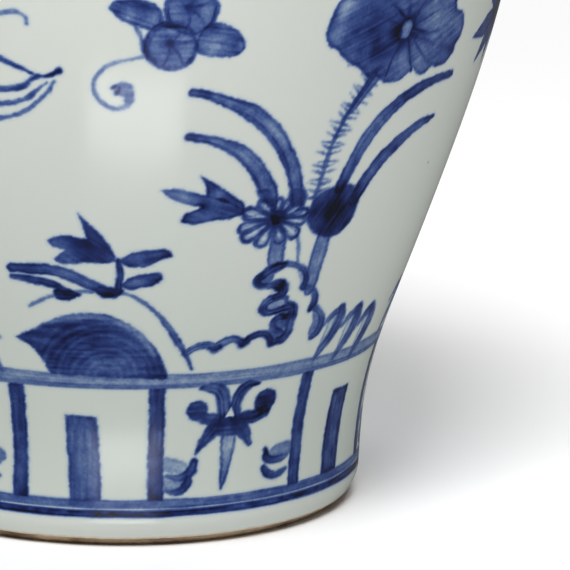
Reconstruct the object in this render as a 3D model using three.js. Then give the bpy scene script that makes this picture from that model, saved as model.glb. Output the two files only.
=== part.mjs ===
// A porcelain vase with a turned foot, a flaring body, a round shoulder and a short neck with a rolled lip.
// It is thrown in sections that are luted together with slip. Each section seats on a bevelled edge of the
// one below, so that it can't slide off or drop in, and a smoothed ring of slip covers each joint inside.
// Millimetres, +Z up. The origin is the middle of the ring that the vase stands on.
import * as THREE from "three";

// Foot ring, the only part that touches the table
const CONTACT_RADIUS = 76; // outer edge of its flat bare face
const CONTACT_WIDTH = 6;
const BEVEL_WIDTH = 3.4; // bare bevel turned on its outer edge
const BEVEL_HEIGHT = 2.6;
const FOOT_RING_HEIGHT = 10.1;
const RING_LEAN = 4; // how far the inner face leans in on its way up

// Stations up the flare of the body: the outside radius at a height
const FOOT_RADIUS = 81.8; // at the top of the foot ring
const FOOT_LEAN = 0.03; // millimetres outwards for each one up
const WAIST_HEIGHT = 31;
const WAIST_RADIUS = 83.1;
const BORDER_HEIGHT = 53.7; // top of the border painted round the foot
const BORDER_RADIUS = 87.9;
const LOW_FLARE_HEIGHT = 76;
const LOW_FLARE_RADIUS = 95.5;
const MID_FLARE_HEIGHT = 114;
const MID_FLARE_RADIUS = 108.7;
const HIGH_FLARE_HEIGHT = 152;
const HIGH_FLARE_RADIUS = 120.4;
const BELLY_HEIGHT = 222; // widest place of the vase
const BELLY_RADIUS = 131;

// Shoulder, neck and lip
const SHOULDER_HEIGHT = 300; // where the shoulder comes level, at the root of the neck
const NECK_ROOT_RADIUS = 54;
const NECK_SWEEP = 7; // radius of the hollow sweep from the shoulder up into the neck
const NECK_WAIST_HEIGHT = 321;
const NECK_WAIST_RADIUS = 52.6;
const NECK_TOP_LEAN = 0.45;
const LIP_RADIUS = 56; // middle of the rolled lip
const LIP_ROLL = 4; // radius of the roll
const LIP_START = -Math.PI / 3; // place on the roll where the wall of the neck meets it
const VASE_HEIGHT = 352;

// Walls and base
const FOOT_WALL = 8;
const BELLY_WALL = 5.5;
const NECK_WALL = 5.5;
const LIP_WALL = 5;
const BASE_THICKNESS = 7;
const BASE_CROWN = 2; // how much higher the base is in its middle
const BASE_CLEARANCE = 0.3; // all round the base, filled with slip

// Luted joints
const JOINT_LAP = 3; // how far the inner edge of a section stands past its outer edge
const SEAM_HALF_WIDTH = 6; // how far the ring of slip reaches to each side of a joint
const SEAM_RISE = 1.6; // and how far it stands off the wall
const FILLET_WIDTH = 8; // ring of slip in the corner between the base and the wall

// Fineness of the solids
const SEGMENTS = 60;
const FLARE_STEPS = 14;
const SHOULDER_STEPS = 9;
const SWEEP_STEPS = 3;
const NECK_STEPS = 5;
const LIP_STEPS = 8;
const SEAM_STEPS = 2;
const BASE_STEPS = 4;
const BEVEL_STEPS = 3;

// Finishes
const glazed = { color: 0xdbe0da, roughness: 0.12, metalness: 0 };
const bare = { color: 0xb99f7e, roughness: 0.8, metalness: 0 };
const slipped = { color: 0xd3d5cb, roughness: 0.35, metalness: 0 };

// A point of a profile: its distance from the axis and its height
const at = (radius, height) => new THREE.Vector2(radius, height);

// Values evenly spaced from one number to another, both ends included
const spread = (from, to, count) =>
  Array.from({ length: count + 1 }, (_, i) => from + ((to - from) * i) / count);

// Points on an ellipse about a centre, between two angles
const arc = (centre, across, up, from, to, count) =>
  spread(from, to, count).map((angle) =>
    at(centre.x + across * Math.cos(angle), centre.y + up * Math.sin(angle)),
  );

// A smooth curve through stations of rising height, with a given lean at both ends. It is a cubic spline,
// and is returned as a function that gives the radius at a height.
function smoothThrough(stations, startLean, endLean) {
  const last = stations.length - 1;
  const gap = (i) => stations[i + 1].y - stations[i].y;
  const chordLean = (i) => (stations[i + 1].x - stations[i].x) / gap(i);
  // The leans at the stations between solve a tridiagonal system: one sweep up, and one back down.
  const share = [0];
  const lean = [startLean];
  for (let i = 1; i < last; i++) {
    const below = 1 / gap(i - 1);
    const above = 1 / gap(i);
    const weight = 2 * (below + above) - share[i - 1] * below;
    share[i] = above / weight;
    lean[i] = (3 * (chordLean(i - 1) * below + chordLean(i) * above) - lean[i - 1] * below) / weight;
  }
  lean[last] = endLean;
  for (let i = last - 1; i > 0; i--) lean[i] -= share[i] * lean[i + 1];
  return (height) => {
    let i = 0;
    while (i < last - 1 && height > stations[i + 1].y) i++;
    const t = (height - stations[i].y) / gap(i);
    const fromBelow = stations[i].x * (1 + 2 * t) + lean[i] * gap(i) * t;
    const fromAbove = stations[i + 1].x * (3 - 2 * t) - lean[i + 1] * gap(i) * (1 - t);
    return fromBelow * (1 - t) ** 2 + fromAbove * t ** 2;
  };
}

// Points of such a curve between two heights
const along = (radiusAt, from, to, count) =>
  spread(from, to, count).map((height) => at(radiusAt(height), height));

// The direction of a line of points at one of them, taken from its neighbours
function directionAt(points, i) {
  const before = points[Math.max(i - 1, 0)];
  const after = points[Math.min(i + 1, points.length - 1)];
  return after.clone().sub(before).normalize();
}

// The point that lies square inwards from a point of an outline that runs up the outside
const inwards = (point, direction, depth) => at(point.x - direction.y * depth, point.y + direction.x * depth);

// The inside of a wall whose thickness changes evenly along its outside
const insideOf = (outside, startWall, endWall) =>
  spread(startWall, endWall, outside.length - 1).map((wall, i) =>
    inwards(outside[i], directionAt(outside, i), wall),
  );

// The inner edge of a joint: straight in from the outer edge, then along the wall by the lap
function jointEdge(outside, wall) {
  const last = outside.length - 1;
  const direction = directionAt(outside, last);
  return inwards(outside[last], direction, wall).addScaledVector(direction, JOINT_LAP);
}

// The inside of a wall that starts at a joint, with extra points where the ring of slip needs them: they
// lie on the straight stretches, so they don't change the wall. Returns the wall and the ring's share of it.
function fromJoint(wall) {
  const pitch = SEAM_HALF_WIDTH / SEAM_STEPS;
  const covered = [wall[0]];
  const points = [wall[0]];
  let walked = 0;
  for (let i = 1; i < wall.length; i++) {
    const start = wall[i - 1];
    const length = start.distanceTo(wall[i]);
    const ends = walked + length;
    for (let k = 1; k <= SEAM_STEPS; k++) {
      const stop = k * pitch;
      if (stop <= walked || stop >= ends) continue;
      const point = start.clone().lerp(wall[i], (stop - walked) / length);
      points.push(point);
      covered.push(point);
    }
    walked = ends;
    points.push(wall[i]);
    if (walked < SEAM_HALF_WIDTH) covered.push(wall[i]);
  }
  return { points, covered };
}

// A solid of revolution about the upright axis. The profile runs round the piece, up its outside
// and down its inside, and a piece with a hole in its middle ends where it starts.
function turned(name, profile, finish) {
  const closed = profile[0].x > 0 ? [...profile, profile[0]] : profile;
  const shape = new THREE.LatheGeometry(closed, SEGMENTS);
  const mesh = new THREE.Mesh(shape, new THREE.MeshStandardMaterial(finish));
  mesh.name = name;
  mesh.rotation.x = Math.PI / 2;
  return mesh;
}

// Outlines of the three thrown sections, each running up the outside
const flare = smoothThrough(
  [
    at(FOOT_RADIUS, FOOT_RING_HEIGHT),
    at(WAIST_RADIUS, WAIST_HEIGHT),
    at(BORDER_RADIUS, BORDER_HEIGHT),
    at(LOW_FLARE_RADIUS, LOW_FLARE_HEIGHT),
    at(MID_FLARE_RADIUS, MID_FLARE_HEIGHT),
    at(HIGH_FLARE_RADIUS, HIGH_FLARE_HEIGHT),
    at(BELLY_RADIUS, BELLY_HEIGHT),
  ],
  FOOT_LEAN,
  0,
);
const lowerOutside = along(flare, FOOT_RING_HEIGHT, BELLY_HEIGHT, FLARE_STEPS);

const neckSeamRadius = NECK_ROOT_RADIUS + NECK_SWEEP;
const shoulderCentre = at(neckSeamRadius, BELLY_HEIGHT);
const shoulderWidth = BELLY_RADIUS - neckSeamRadius;
const shoulderRise = SHOULDER_HEIGHT - BELLY_HEIGHT;
const upperOutside = arc(shoulderCentre, shoulderWidth, shoulderRise, 0, Math.PI / 2, SHOULDER_STEPS);

const sweepCentre = at(neckSeamRadius, SHOULDER_HEIGHT + NECK_SWEEP);
const sweep = arc(sweepCentre, NECK_SWEEP, NECK_SWEEP, -Math.PI / 2, -Math.PI, SWEEP_STEPS);
const lipCentre = at(LIP_RADIUS, VASE_HEIGHT - LIP_ROLL);
const lip = arc(lipCentre, LIP_ROLL, LIP_ROLL, LIP_START, Math.PI, LIP_STEPS);
const neckRoot = sweep.at(-1);
const neckTop = lip[0];
const neckStations = [neckRoot, at(NECK_WAIST_RADIUS, NECK_WAIST_HEIGHT), neckTop];
const neckRise = smoothThrough(neckStations, 0, NECK_TOP_LEAN);
const neckWall = along(neckRise, neckRoot.y, neckTop.y, NECK_STEPS);
const neckOutside = [...sweep, ...neckWall.slice(1)];

// Insides of the sections, each also running up
const bellyJoint = jointEdge(lowerOutside, BELLY_WALL);
const neckJoint = jointEdge(upperOutside, NECK_WALL);
const lowerFoot = at(FOOT_RADIUS - FOOT_WALL, FOOT_RING_HEIGHT);
const lowerInside = [lowerFoot, ...insideOf(lowerOutside, FOOT_WALL, BELLY_WALL).slice(1, -1), bellyJoint];
const upperInside = [bellyJoint, ...insideOf(upperOutside, BELLY_WALL, NECK_WALL).slice(1, -1), neckJoint];
const neckInside = [neckJoint, ...insideOf(neckOutside, NECK_WALL, LIP_WALL).slice(1, -1), lip.at(-1)];

// The stretches of those insides that the rings of slip cover
const belowBelly = fromJoint([...lowerInside].reverse());
const aboveBelly = fromJoint(upperInside);
const belowNeck = fromJoint([...aboveBelly.points].reverse());
const aboveNeck = fromJoint(neckInside);

// The ring that the vase stands on: flat bare face, bare bevel, rounded glazed wall and an inner face
// that leans in to carry the edge of the base
function footRing() {
  const contactInner = at(CONTACT_RADIUS - CONTACT_WIDTH, 0);
  const top = at(FOOT_RADIUS, FOOT_RING_HEIGHT);
  const bevelTop = at(CONTACT_RADIUS + BEVEL_WIDTH, BEVEL_HEIGHT);
  const rounding = new THREE.QuadraticBezierCurve(bevelTop, at(top.x, (top.y + bevelTop.y) / 2), top);
  const outside = [at(CONTACT_RADIUS, 0), ...rounding.getPoints(BEVEL_STEPS)];
  const innerTop = at(contactInner.x - RING_LEAN, FOOT_RING_HEIGHT);
  return turned("foot_ring", [contactInner, ...outside, innerTop], bare);
}

// The slab that closes the vase. It lies on the foot ring, inside the wall, and its top is slightly
// crowned inside a level border.
const baseRadius = lowerFoot.x - BASE_CLEARANCE;
const baseTop = FOOT_RING_HEIGHT + BASE_THICKNESS;
const crownRadius = baseRadius - FILLET_WIDTH;

function baseDisc() {
  const crown = new THREE.QuadraticBezierCurve(
    at(crownRadius, baseTop),
    at(crownRadius / 2, baseTop + BASE_CROWN),
    at(0, baseTop + BASE_CROWN),
  );
  const rim = [at(0, FOOT_RING_HEIGHT), at(baseRadius, FOOT_RING_HEIGHT), at(baseRadius, baseTop)];
  return turned("base_disc", [...rim, ...crown.getPoints(BASE_STEPS)], glazed);
}

// The ring of slip pressed into the corner between the base and the wall
function baseFillet() {
  const radiusInside = (height) => {
    const i = lowerInside.findIndex((point) => point.y > height);
    const [below, above] = [lowerInside[i - 1], lowerInside[i]];
    return below.x + ((above.x - below.x) * (height - below.y)) / (above.y - below.y);
  };
  const top = baseTop + FILLET_WIDTH;
  const corner = at(baseRadius, baseTop);
  const upperEdge = at(radiusInside(top) - BASE_CLEARANCE, top);
  const hollow = new THREE.QuadraticBezierCurve(upperEdge, corner, at(crownRadius, baseTop));
  return turned("base_slip_fillet", [corner, ...hollow.getPoints(BASE_STEPS)], slipped);
}

// A thrown section: up its outside and back down its inside
const section = (name, outside, inside) => turned(name, [...outside, ...[...inside].reverse()], glazed);

// A ring of slip smoothed over a joint. Its back is the wall itself, and its front swells off the wall
// from nothing at its edges to its full height over the joint.
function slipRing(name, below, above) {
  const back = [...[...below.covered].reverse(), ...above.covered.slice(1)];
  const last = back.length - 1;
  const joint = below.covered.length - 1;
  const front = back.slice(1, last).map((point, k) => {
    const i = k + 1;
    const reach = i <= joint ? i / joint : (last - i) / (last - joint);
    const height = SEAM_RISE * Math.sin((reach * Math.PI) / 2);
    return inwards(point, directionAt(back, i), height);
  });
  return turned(name, [...back, ...front.reverse()], slipped);
}

const vase = new THREE.Group();
vase.add(
  footRing(),
  baseDisc(),
  baseFillet(),
  section("lower_body", lowerOutside, [...belowBelly.points].reverse()),
  slipRing("belly_slip_ring", belowBelly, aboveBelly),
  section("upper_body", upperOutside, [...belowNeck.points].reverse()),
  slipRing("neck_slip_ring", belowNeck, aboveNeck),
  section("neck", [...neckOutside, ...lip.slice(1, -1)], aboveNeck.points),
);

export default vase;
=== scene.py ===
"""A blue and white porcelain vase with a garden painted round its wall, dressed over its thrown sections.

The wall is turned again at full fineness, in rings that meet edge to edge, and the garden is painted on it
stroke by stroke. Lengths are millimetres, as in the solids, and the meshes are scaled to metres when made.
A place on the painted wall is its angle round the axis, in degrees, and its walk: how far it lies from the
edge that the vase stands on, measured up along the wall.
"""

import logging
import math
from dataclasses import dataclass, field, replace
from enum import Enum
from functools import cached_property
from typing import Any, Iterable, Union

import bpy
import numpy as np
from mathutils import Matrix, Vector


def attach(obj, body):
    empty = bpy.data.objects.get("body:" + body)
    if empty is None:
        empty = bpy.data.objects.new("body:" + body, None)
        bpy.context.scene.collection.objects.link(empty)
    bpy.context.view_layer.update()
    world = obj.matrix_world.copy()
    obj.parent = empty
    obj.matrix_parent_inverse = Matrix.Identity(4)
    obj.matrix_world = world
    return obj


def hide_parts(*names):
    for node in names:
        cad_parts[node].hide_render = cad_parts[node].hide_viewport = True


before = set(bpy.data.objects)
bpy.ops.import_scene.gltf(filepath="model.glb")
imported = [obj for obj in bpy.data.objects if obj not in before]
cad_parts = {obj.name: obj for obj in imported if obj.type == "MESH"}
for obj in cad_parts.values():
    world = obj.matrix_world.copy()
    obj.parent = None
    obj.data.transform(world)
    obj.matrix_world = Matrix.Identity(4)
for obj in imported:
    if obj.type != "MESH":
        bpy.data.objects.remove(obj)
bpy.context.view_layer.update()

METRE = 0.001  # one millimetre
FULL_TURN = 360.0
log = logging.getLogger("vase")

Point = tuple[float, float]
Points = tuple[Point, ...]
Place = tuple[float, float, float]
Spread = tuple[tuple[float, float, float], ...]  # petals: which way each points in degrees, how far, how wide


def lerp_over(values: tuple[float, ...], share: np.ndarray) -> np.ndarray:
    """Values spread evenly from 0 to 1, read at each share of the way."""
    return np.interp(share, np.linspace(0, 1, len(values)), values)


def soft_step(low: float, high: float, value: np.ndarray) -> np.ndarray:
    """Rises smoothly from 0 at low to 1 at high."""
    t = np.clip((value - low) / (high - low), 0, 1)
    return t * t * (3.0 - 2.0 * t)


def lengths_along(points: np.ndarray) -> np.ndarray:
    """How far along a line of points each one lies."""
    steps = np.hypot(*np.diff(points, axis=0).T)
    return np.concatenate([[0.0], np.cumsum(steps)])


class Grain:
    """Smooth random variation over a plane, the same on each run."""

    SIZE = 256

    def __init__(self, seed: int) -> None:
        """Fills the lattice.

        Args:
            seed: Picks one of the many patterns.
        """
        self.lattice = np.random.default_rng(seed).random((self.SIZE, self.SIZE))

    def at(self, x: np.ndarray, y: np.ndarray) -> np.ndarray:
        """Reads the pattern.

        Args:
            x: Places across, one lattice cell wide each.
            y: Places up.

        Returns:
            Values from -1 to 1, of the same shape.
        """
        column, row = np.floor(x).astype(int), np.floor(y).astype(int)
        u, v = x - column, y - row
        u, v = u * u * (3 - 2 * u), v * v * (3 - 2 * v)
        left, right = column % self.SIZE, (column + 1) % self.SIZE
        low, high = row % self.SIZE, (row + 1) % self.SIZE
        below = self.lattice[low, left] * (1 - u) + self.lattice[low, right] * u
        above = self.lattice[high, left] * (1 - u) + self.lattice[high, right] * u
        return 2.0 * (below * (1 - v) + above * v) - 1.0


GRAIN = Grain(seed=11)


@dataclass(frozen=True)
class HalfSection:
    """The outline and walls of the vase, as it was thrown, luted and turned."""

    contact_radius: float = 76.0
    contact_width: float = 6.0
    bevel_width: float = 3.4
    bevel_height: float = 2.6
    foot_height: float = 10.1
    ring_lean: float = 4.0
    foot_lean: float = 0.03
    flare: Points = (
        (81.8, 10.1), (83.1, 31), (87.9, 53.7), (95.5, 76), (108.7, 114), (120.4, 152), (131, 222),
    )
    shoulder_height: float = 300.0
    neck_root: float = 54.0
    neck_sweep: float = 7.0
    neck_waist: Point = (52.6, 321)
    neck_top_lean: float = 0.45
    lip_radius: float = 56.0
    lip_roll: float = 4.0
    lip_start: float = -60.0
    height: float = 352.0
    foot_wall: float = 8.0
    belly_wall: float = 5.5
    neck_wall: float = 5.5
    lip_wall: float = 5.0
    base_thickness: float = 7.0
    base_crown: float = 2.0
    base_clearance: float = 0.3
    fillet_width: float = 8.0
    fineness: float = 0.1  # between the points that the outline is kept as

    @staticmethod
    def spline(stations: Points, start_lean: float, end_lean: float) -> np.ndarray:
        """A cubic spline of radius over height with given leans at its ends.

        Args:
            stations: Radius and height of each station, going up.
            start_lean: Millimetres outwards for each one up at the lowest station.
            end_lean: The same at the highest.

        Returns:
            The lean at each station.
        """
        radius, height = np.array(stations).T
        gap = np.diff(height)
        chord = np.diff(radius) / gap
        count = len(height)
        system, right = np.eye(count), np.zeros(count)
        right[0], right[-1] = start_lean, end_lean
        for i in range(1, count - 1):
            below, above = 1 / gap[i - 1], 1 / gap[i]
            system[i, i - 1:i + 2] = below, 2 * (below + above), above
            right[i] = 3 * (chord[i - 1] * below + chord[i] * above)
        return np.linalg.solve(system, right)

    def rise(self, stations: Points, start_lean: float, end_lean: float) -> np.ndarray:
        """Fine points along such a spline.

        Args:
            stations: Radius and height of each station, going up.
            start_lean: Lean at the lowest.
            end_lean: Lean at the highest.

        Returns:
            Rows of radius and height.
        """
        leans = self.spline(stations, start_lean, end_lean)
        radius, height = np.array(stations).T
        z = np.linspace(height[0], height[-1], int((height[-1] - height[0]) / self.fineness) + 1)
        i = np.clip(np.searchsorted(height, z, side="right") - 1, 0, len(height) - 2)
        gap = height[i + 1] - height[i]
        t = (z - height[i]) / gap
        low = radius[i] * (1 + 2 * t) + leans[i] * gap * t
        high = radius[i + 1] * (3 - 2 * t) - leans[i + 1] * gap * (1 - t)
        return np.stack([low * (1 - t) ** 2 + high * t**2, z], axis=1)

    def arc(self, centre: Point, across: float, up: float, start: float, stop: float) -> np.ndarray:
        """Fine points along an ellipse.

        Args:
            centre: Its centre.
            across: Its half width.
            up: Its half height.
            start: Angle of the first point, in degrees.
            stop: Angle of the last.

        Returns:
            Rows of radius and height.
        """
        count = int(abs(math.radians(stop - start)) * max(across, up) / self.fineness) + 2
        angle = np.radians(np.linspace(start, stop, count))
        return np.stack([centre[0] + across * np.cos(angle), centre[1] + up * np.sin(angle)], axis=1)

    @cached_property
    def foot_outside(self) -> np.ndarray:
        """The outside of the foot ring, from the edge that it stands on up to the wall."""
        bevel_top = np.array([self.contact_radius + self.bevel_width, self.bevel_height])
        top = np.array(self.flare[0])
        middle = np.array([top[0], (top[1] + bevel_top[1]) / 2])
        t = np.linspace(0, 1, 80)[:, None]
        rounding = bevel_top * (1 - t) ** 2 + middle * 2 * t * (1 - t) + top * t**2
        return np.concatenate([[[self.contact_radius, 0.0]], rounding])

    @cached_property
    def outside(self) -> np.ndarray:
        """The whole outside, from the edge that the vase stands on to the inner end of the lip."""
        belly = self.flare[-1]
        root_radius = self.neck_root + self.neck_sweep
        across, up = belly[0] - root_radius, self.shoulder_height - belly[1]
        shoulder = self.arc((root_radius, belly[1]), across, up, 0, 90)
        sweep_centre = (root_radius, self.shoulder_height + self.neck_sweep)
        sweep = self.arc(sweep_centre, self.neck_sweep, self.neck_sweep, -90, -180)
        lip_centre = (self.lip_radius, self.height - self.lip_roll)
        lip = self.arc(lip_centre, self.lip_roll, self.lip_roll, self.lip_start, 180)
        stations = (tuple(sweep[-1]), self.neck_waist, tuple(lip[0]))
        neck = self.rise(stations, 0, self.neck_top_lean)
        flare = self.rise(self.flare, self.foot_lean, 0)
        parts = [self.foot_outside, flare[1:], shoulder[1:], sweep[1:], neck[1:], lip[1:]]
        return np.concatenate(parts)

    @cached_property
    def walks(self) -> np.ndarray:
        """How far along the outside each of its points lies."""
        return lengths_along(self.outside)

    @cached_property
    def lip_begins(self) -> float:
        """The walk at which the wall of the neck meets the rolled lip."""
        roll = math.radians(180 - self.lip_start) * self.lip_roll
        return float(self.walks[-1] - roll)

    def walk_at(self, height: float) -> float:
        """The walk to a height on the wall, below the lip."""
        below = self.walks < self.lip_begins
        return float(np.interp(height, self.outside[below, 1], self.walks[below]))

    def place(self, walk: np.ndarray) -> np.ndarray:
        """Rows of radius and height at walks along the outside."""
        radius = np.interp(walk, self.walks, self.outside[:, 0])
        return np.stack([radius, np.interp(walk, self.walks, self.outside[:, 1])], axis=-1)

    def inner(self, walk: np.ndarray) -> np.ndarray:
        """The inside of the wall, square inwards from places on the outside.

        Args:
            walk: Walks along the outside.

        Returns:
            Rows of radius and height.
        """
        reach = 0.5
        along = self.place(walk + reach) - self.place(walk - reach)
        along /= np.hypot(*along.T)[:, None]
        stops = [self.walk_at(self.flare[0][1]), self.walk_at(self.flare[-1][1])]
        stops += [self.walk_at(self.shoulder_height), self.lip_begins]
        wall = np.interp(walk, stops, [self.foot_wall, self.belly_wall, self.neck_wall, self.lip_wall])
        return self.place(walk) + np.stack([-along[:, 1], along[:, 0]], axis=1) * wall[:, None]


VASE = HalfSection()


class Tone(Enum):
    """How much cobalt the brush leaves, from a thin wash to a full load."""

    MIST = 0.2
    PALE = 0.34
    THIN = 0.42
    WASH = 0.5
    BODY = 0.64
    FULL = 0.78
    DEEP = 0.92


MIST, PALE, THIN, WASH, BODY, FULL, DEEP = Tone


def flowing(points: Points, closed: bool, tips: tuple[int, ...] = ()) -> np.ndarray:
    """Samples a smooth line through a few points.

    Args:
        points: The points that the line goes through.
        closed: Whether it comes back to its start.
        tips: Places in the list at which it turns sharply.

    Returns:
        Rows of x and y, about a third of a millimetre apart.
    """
    step = 0.34
    given = np.array(points, float)
    if closed:
        start = tips[0] if tips else 0
        given = np.concatenate([np.roll(given, -start, axis=0), given[start:start + 1]])
        tips = tuple((t - start) % len(points) for t in tips)
    last = len(given) - 1
    gap = np.maximum(np.hypot(*np.diff(given, axis=0).T), 1e-6)
    slope = np.diff(given, axis=0) / gap[:, None]
    leaving, arriving = slope.copy(), slope.copy()
    for i in range(1, last):
        if i not in tips:
            shared = (slope[i - 1] * gap[i] + slope[i] * gap[i - 1]) / (gap[i] + gap[i - 1])
            arriving[i - 1] = leaving[i] = shared
    if closed and not tips:
        shared = (slope[-1] * gap[0] + slope[0] * gap[-1]) / (gap[0] + gap[-1])
        arriving[-1] = leaving[0] = shared
    runs = []
    for i in range(last):
        t = np.linspace(0, 1, max(int(gap[i] / step), 1) + 1)[:-1, None]
        swing = leaving[i] * gap[i] * (t**3 - 2 * t**2 + t) + arriving[i] * gap[i] * (t**3 - t**2)
        runs.append(given[i] * (1 + 2 * t) * (1 - t) ** 2 + given[i + 1] * t**2 * (3 - 2 * t) + swing)
    return np.concatenate(runs + [given[-1:]])


HALO = 1.8  # how far cobalt bleeds into the glaze beyond a painted edge
BLEED = 0.2  # and how much of it
INNER = 0.1  # how much of what pools along an edge is taken from the middle
RAGGED = 0.22  # how far an edge wanders, in millimetres


def covering(inside: np.ndarray, soft: float) -> np.ndarray:
    """How fully paint covers places, from how far they lie inside its edge.

    Args:
        inside: Millimetres inside the edge, and below zero outside it.
        soft: Half the width over which the edge fades.

    Returns:
        From 0 to 1, with a faint halo outside the edge.
    """
    core = soft_step(-soft, soft, inside)
    halo = BLEED * np.clip(1.0 + inside / HALO, 0, 1) ** 2
    return core + (1.0 - core) * halo


class Mark:
    """A stroke or a filled shape: paint inside an edge that wanders a little."""

    rim: float  # how much more cobalt pools along its edges
    rim_width: float
    streak: float
    lift: float  # how much of the paint under it is wiped off, and then nothing is laid
    soft: float  # half the width over which its edge fades

    HAIR: float  # how wide the mark of a brush hair is
    PULL: float  # and how far it runs before it changes
    BLOT: float  # how large the places are where paint runs together
    SEED: Point  # with the first point, this picks the mark's own pattern
    FINE, COARSE = 1.1, 3.7  # sizes of the notches and of the waves in its edge

    def wandering(self, x: np.ndarray, y: np.ndarray, start: float) -> np.ndarray:
        """How far the edge wanders outwards at places, from a pattern picked by start."""
        notches = GRAIN.at(x / self.FINE - start, y / self.FINE + start)
        return RAGGED * (notches + GRAIN.at(x / self.COARSE - start, y / self.COARSE))

    def laid(self, load: Any, streaks: np.ndarray, blots: np.ndarray, inside: np.ndarray) -> np.ndarray:
        """The paint at places, before its edge is cut.

        Args:
            load: How much the brush holds there.
            streaks: The marks of its hairs, from -1 to 1.
            blots: Where it runs together, from -1 to 1.
            inside: Millimetres inside the edge.

        Returns:
            How much is laid.
        """
        pooled = np.exp(-((np.maximum(inside, 0) / self.rim_width) ** 2))
        return load * (1.0 + self.streak * (0.7 * streaks + 0.6 * blots)) + self.rim * (pooled - INNER)

    def cut(self, body: np.ndarray, inside: np.ndarray) -> np.ndarray:
        """What is left of the paint inside the edge, or the share that a lifting mark wipes off there."""
        if self.lift:
            return self.lift * soft_step(-self.soft, self.soft, inside)
        return np.clip(body, 0, 1) * covering(inside, self.soft)


@dataclass(frozen=True)
class Stroke(Mark):
    """One pull of the brush: a line through a few points, with a width and a load that change along it."""

    points: Points
    widths: tuple[float, ...]
    tone: Union[Tone, tuple[Tone, ...]] = BODY
    rim: float = 0.22
    streak: float = 0.2
    lift: float = 0.0
    soft: float = 0.62
    rim_width: float = 0.8

    HAIR, PULL, BLOT = 0.55, 11.0, 2.3
    SEED = (17.3, 7.1)

    @cached_property
    def line(self) -> np.ndarray:
        """The middle line, finely sampled."""
        return flowing(self.points, False)

    @property
    def reach(self) -> float:
        """How far the stroke spreads from its middle line."""
        return max(self.widths) / 2 + HALO

    def amount(self, x: np.ndarray, y: np.ndarray) -> np.ndarray:
        """How much cobalt the stroke leaves at places.

        Args:
            x: Millimetres to the right of the motif's own origin.
            y: Millimetres up from it.

        Returns:
            From 0 to 1 at each place.
        """
        line = self.line
        away = (x[:, None] - line[:, 0]) ** 2 + (y[:, None] - line[:, 1]) ** 2
        nearest = away.argmin(axis=1)
        distance = np.sqrt(away[np.arange(len(x)), nearest])
        walked = lengths_along(line)
        share = walked[nearest] / max(walked[-1], 1e-6)
        inside = lerp_over(self.widths, share) / 2 - distance
        along = np.gradient(line, axis=0)
        along /= np.maximum(np.hypot(*along.T), 1e-6)[:, None]
        off = np.stack([x, y], axis=1) - line[nearest]
        across = along[nearest, 0] * off[:, 1] - along[nearest, 1] * off[:, 0]
        tones = self.tone if isinstance(self.tone, tuple) else (self.tone,)
        load = lerp_over(tuple(t.value for t in tones), share)
        start = self.SEED[0] * self.points[0][0] + self.SEED[1] * self.points[0][1]
        streaks = GRAIN.at(across / self.HAIR + start, walked[nearest] / self.PULL + start)
        blots = GRAIN.at(x / self.BLOT + start, y / self.BLOT - start)
        inside = inside + self.wandering(x, y, start)
        return self.cut(self.laid(load, streaks, blots, inside), inside)


@dataclass(frozen=True)
class Pool:
    """A place in a wash where cobalt gathers or, with a gain below zero, thins."""

    x: float
    y: float
    radius: float
    gain: float


@dataclass(frozen=True)
class Patch(Mark):
    """A filled shape: an outline washed in, with darker edges and pools."""

    outline: Points
    tips: tuple[int, ...] = ()
    tone: Tone = BODY
    rim: float = 0.22
    rim_width: float = 0.8
    streak: float = 0.18
    grain_angle: float = 0.0  # the direction of its brush marks, in degrees
    pools: tuple[Pool, ...] = ()
    lift: float = 0.0
    soft: float = 0.62

    HAIR, PULL, BLOT = 0.8, 9.0, 3.1
    SEED = (13.7, 5.9)

    @cached_property
    def line(self) -> np.ndarray:
        """The outline, finely sampled."""
        return flowing(self.outline, True, self.tips)

    @property
    def reach(self) -> float:
        """How far the shape spreads past its outline."""
        return HALO

    def amount(self, x: np.ndarray, y: np.ndarray) -> np.ndarray:
        """How much cobalt the shape holds at places.

        Args:
            x: Millimetres to the right of the motif's own origin.
            y: Millimetres up from it.

        Returns:
            From 0 to 1 at each place.
        """
        line = self.line
        px, py = line[:-1].T
        qx, qy = line[1:].T
        away = (x[:, None] - px) ** 2 + (y[:, None] - py) ** 2
        distance = np.sqrt(away.min(axis=1))
        spans = (py <= y[:, None]) != (qy <= y[:, None])
        rise = np.where(np.abs(qy - py) < 1e-9, 1e-9, qy - py)
        crossing = x[:, None] < px + (y[:, None] - py) / rise * (qx - px)
        within = (spans & crossing).sum(axis=1) % 2 == 1
        inside = np.where(within, distance, -distance)
        turn = math.radians(self.grain_angle)
        across = y * math.cos(turn) - x * math.sin(turn)
        along = x * math.cos(turn) + y * math.sin(turn)
        start = self.SEED[0] * self.outline[0][0] + self.SEED[1] * self.outline[0][1]
        streaks = GRAIN.at(across / self.HAIR + start, along / self.PULL + start)
        blots = GRAIN.at(x / self.BLOT + start, y / self.BLOT - start)
        inside = inside + self.wandering(x, y, start)
        body = self.laid(self.tone.value, streaks, blots, inside)
        for pool in self.pools:
            body = body + pool.gain * np.exp(-((x - pool.x) ** 2 + (y - pool.y) ** 2) / pool.radius**2)
        return self.cut(body, inside)


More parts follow.
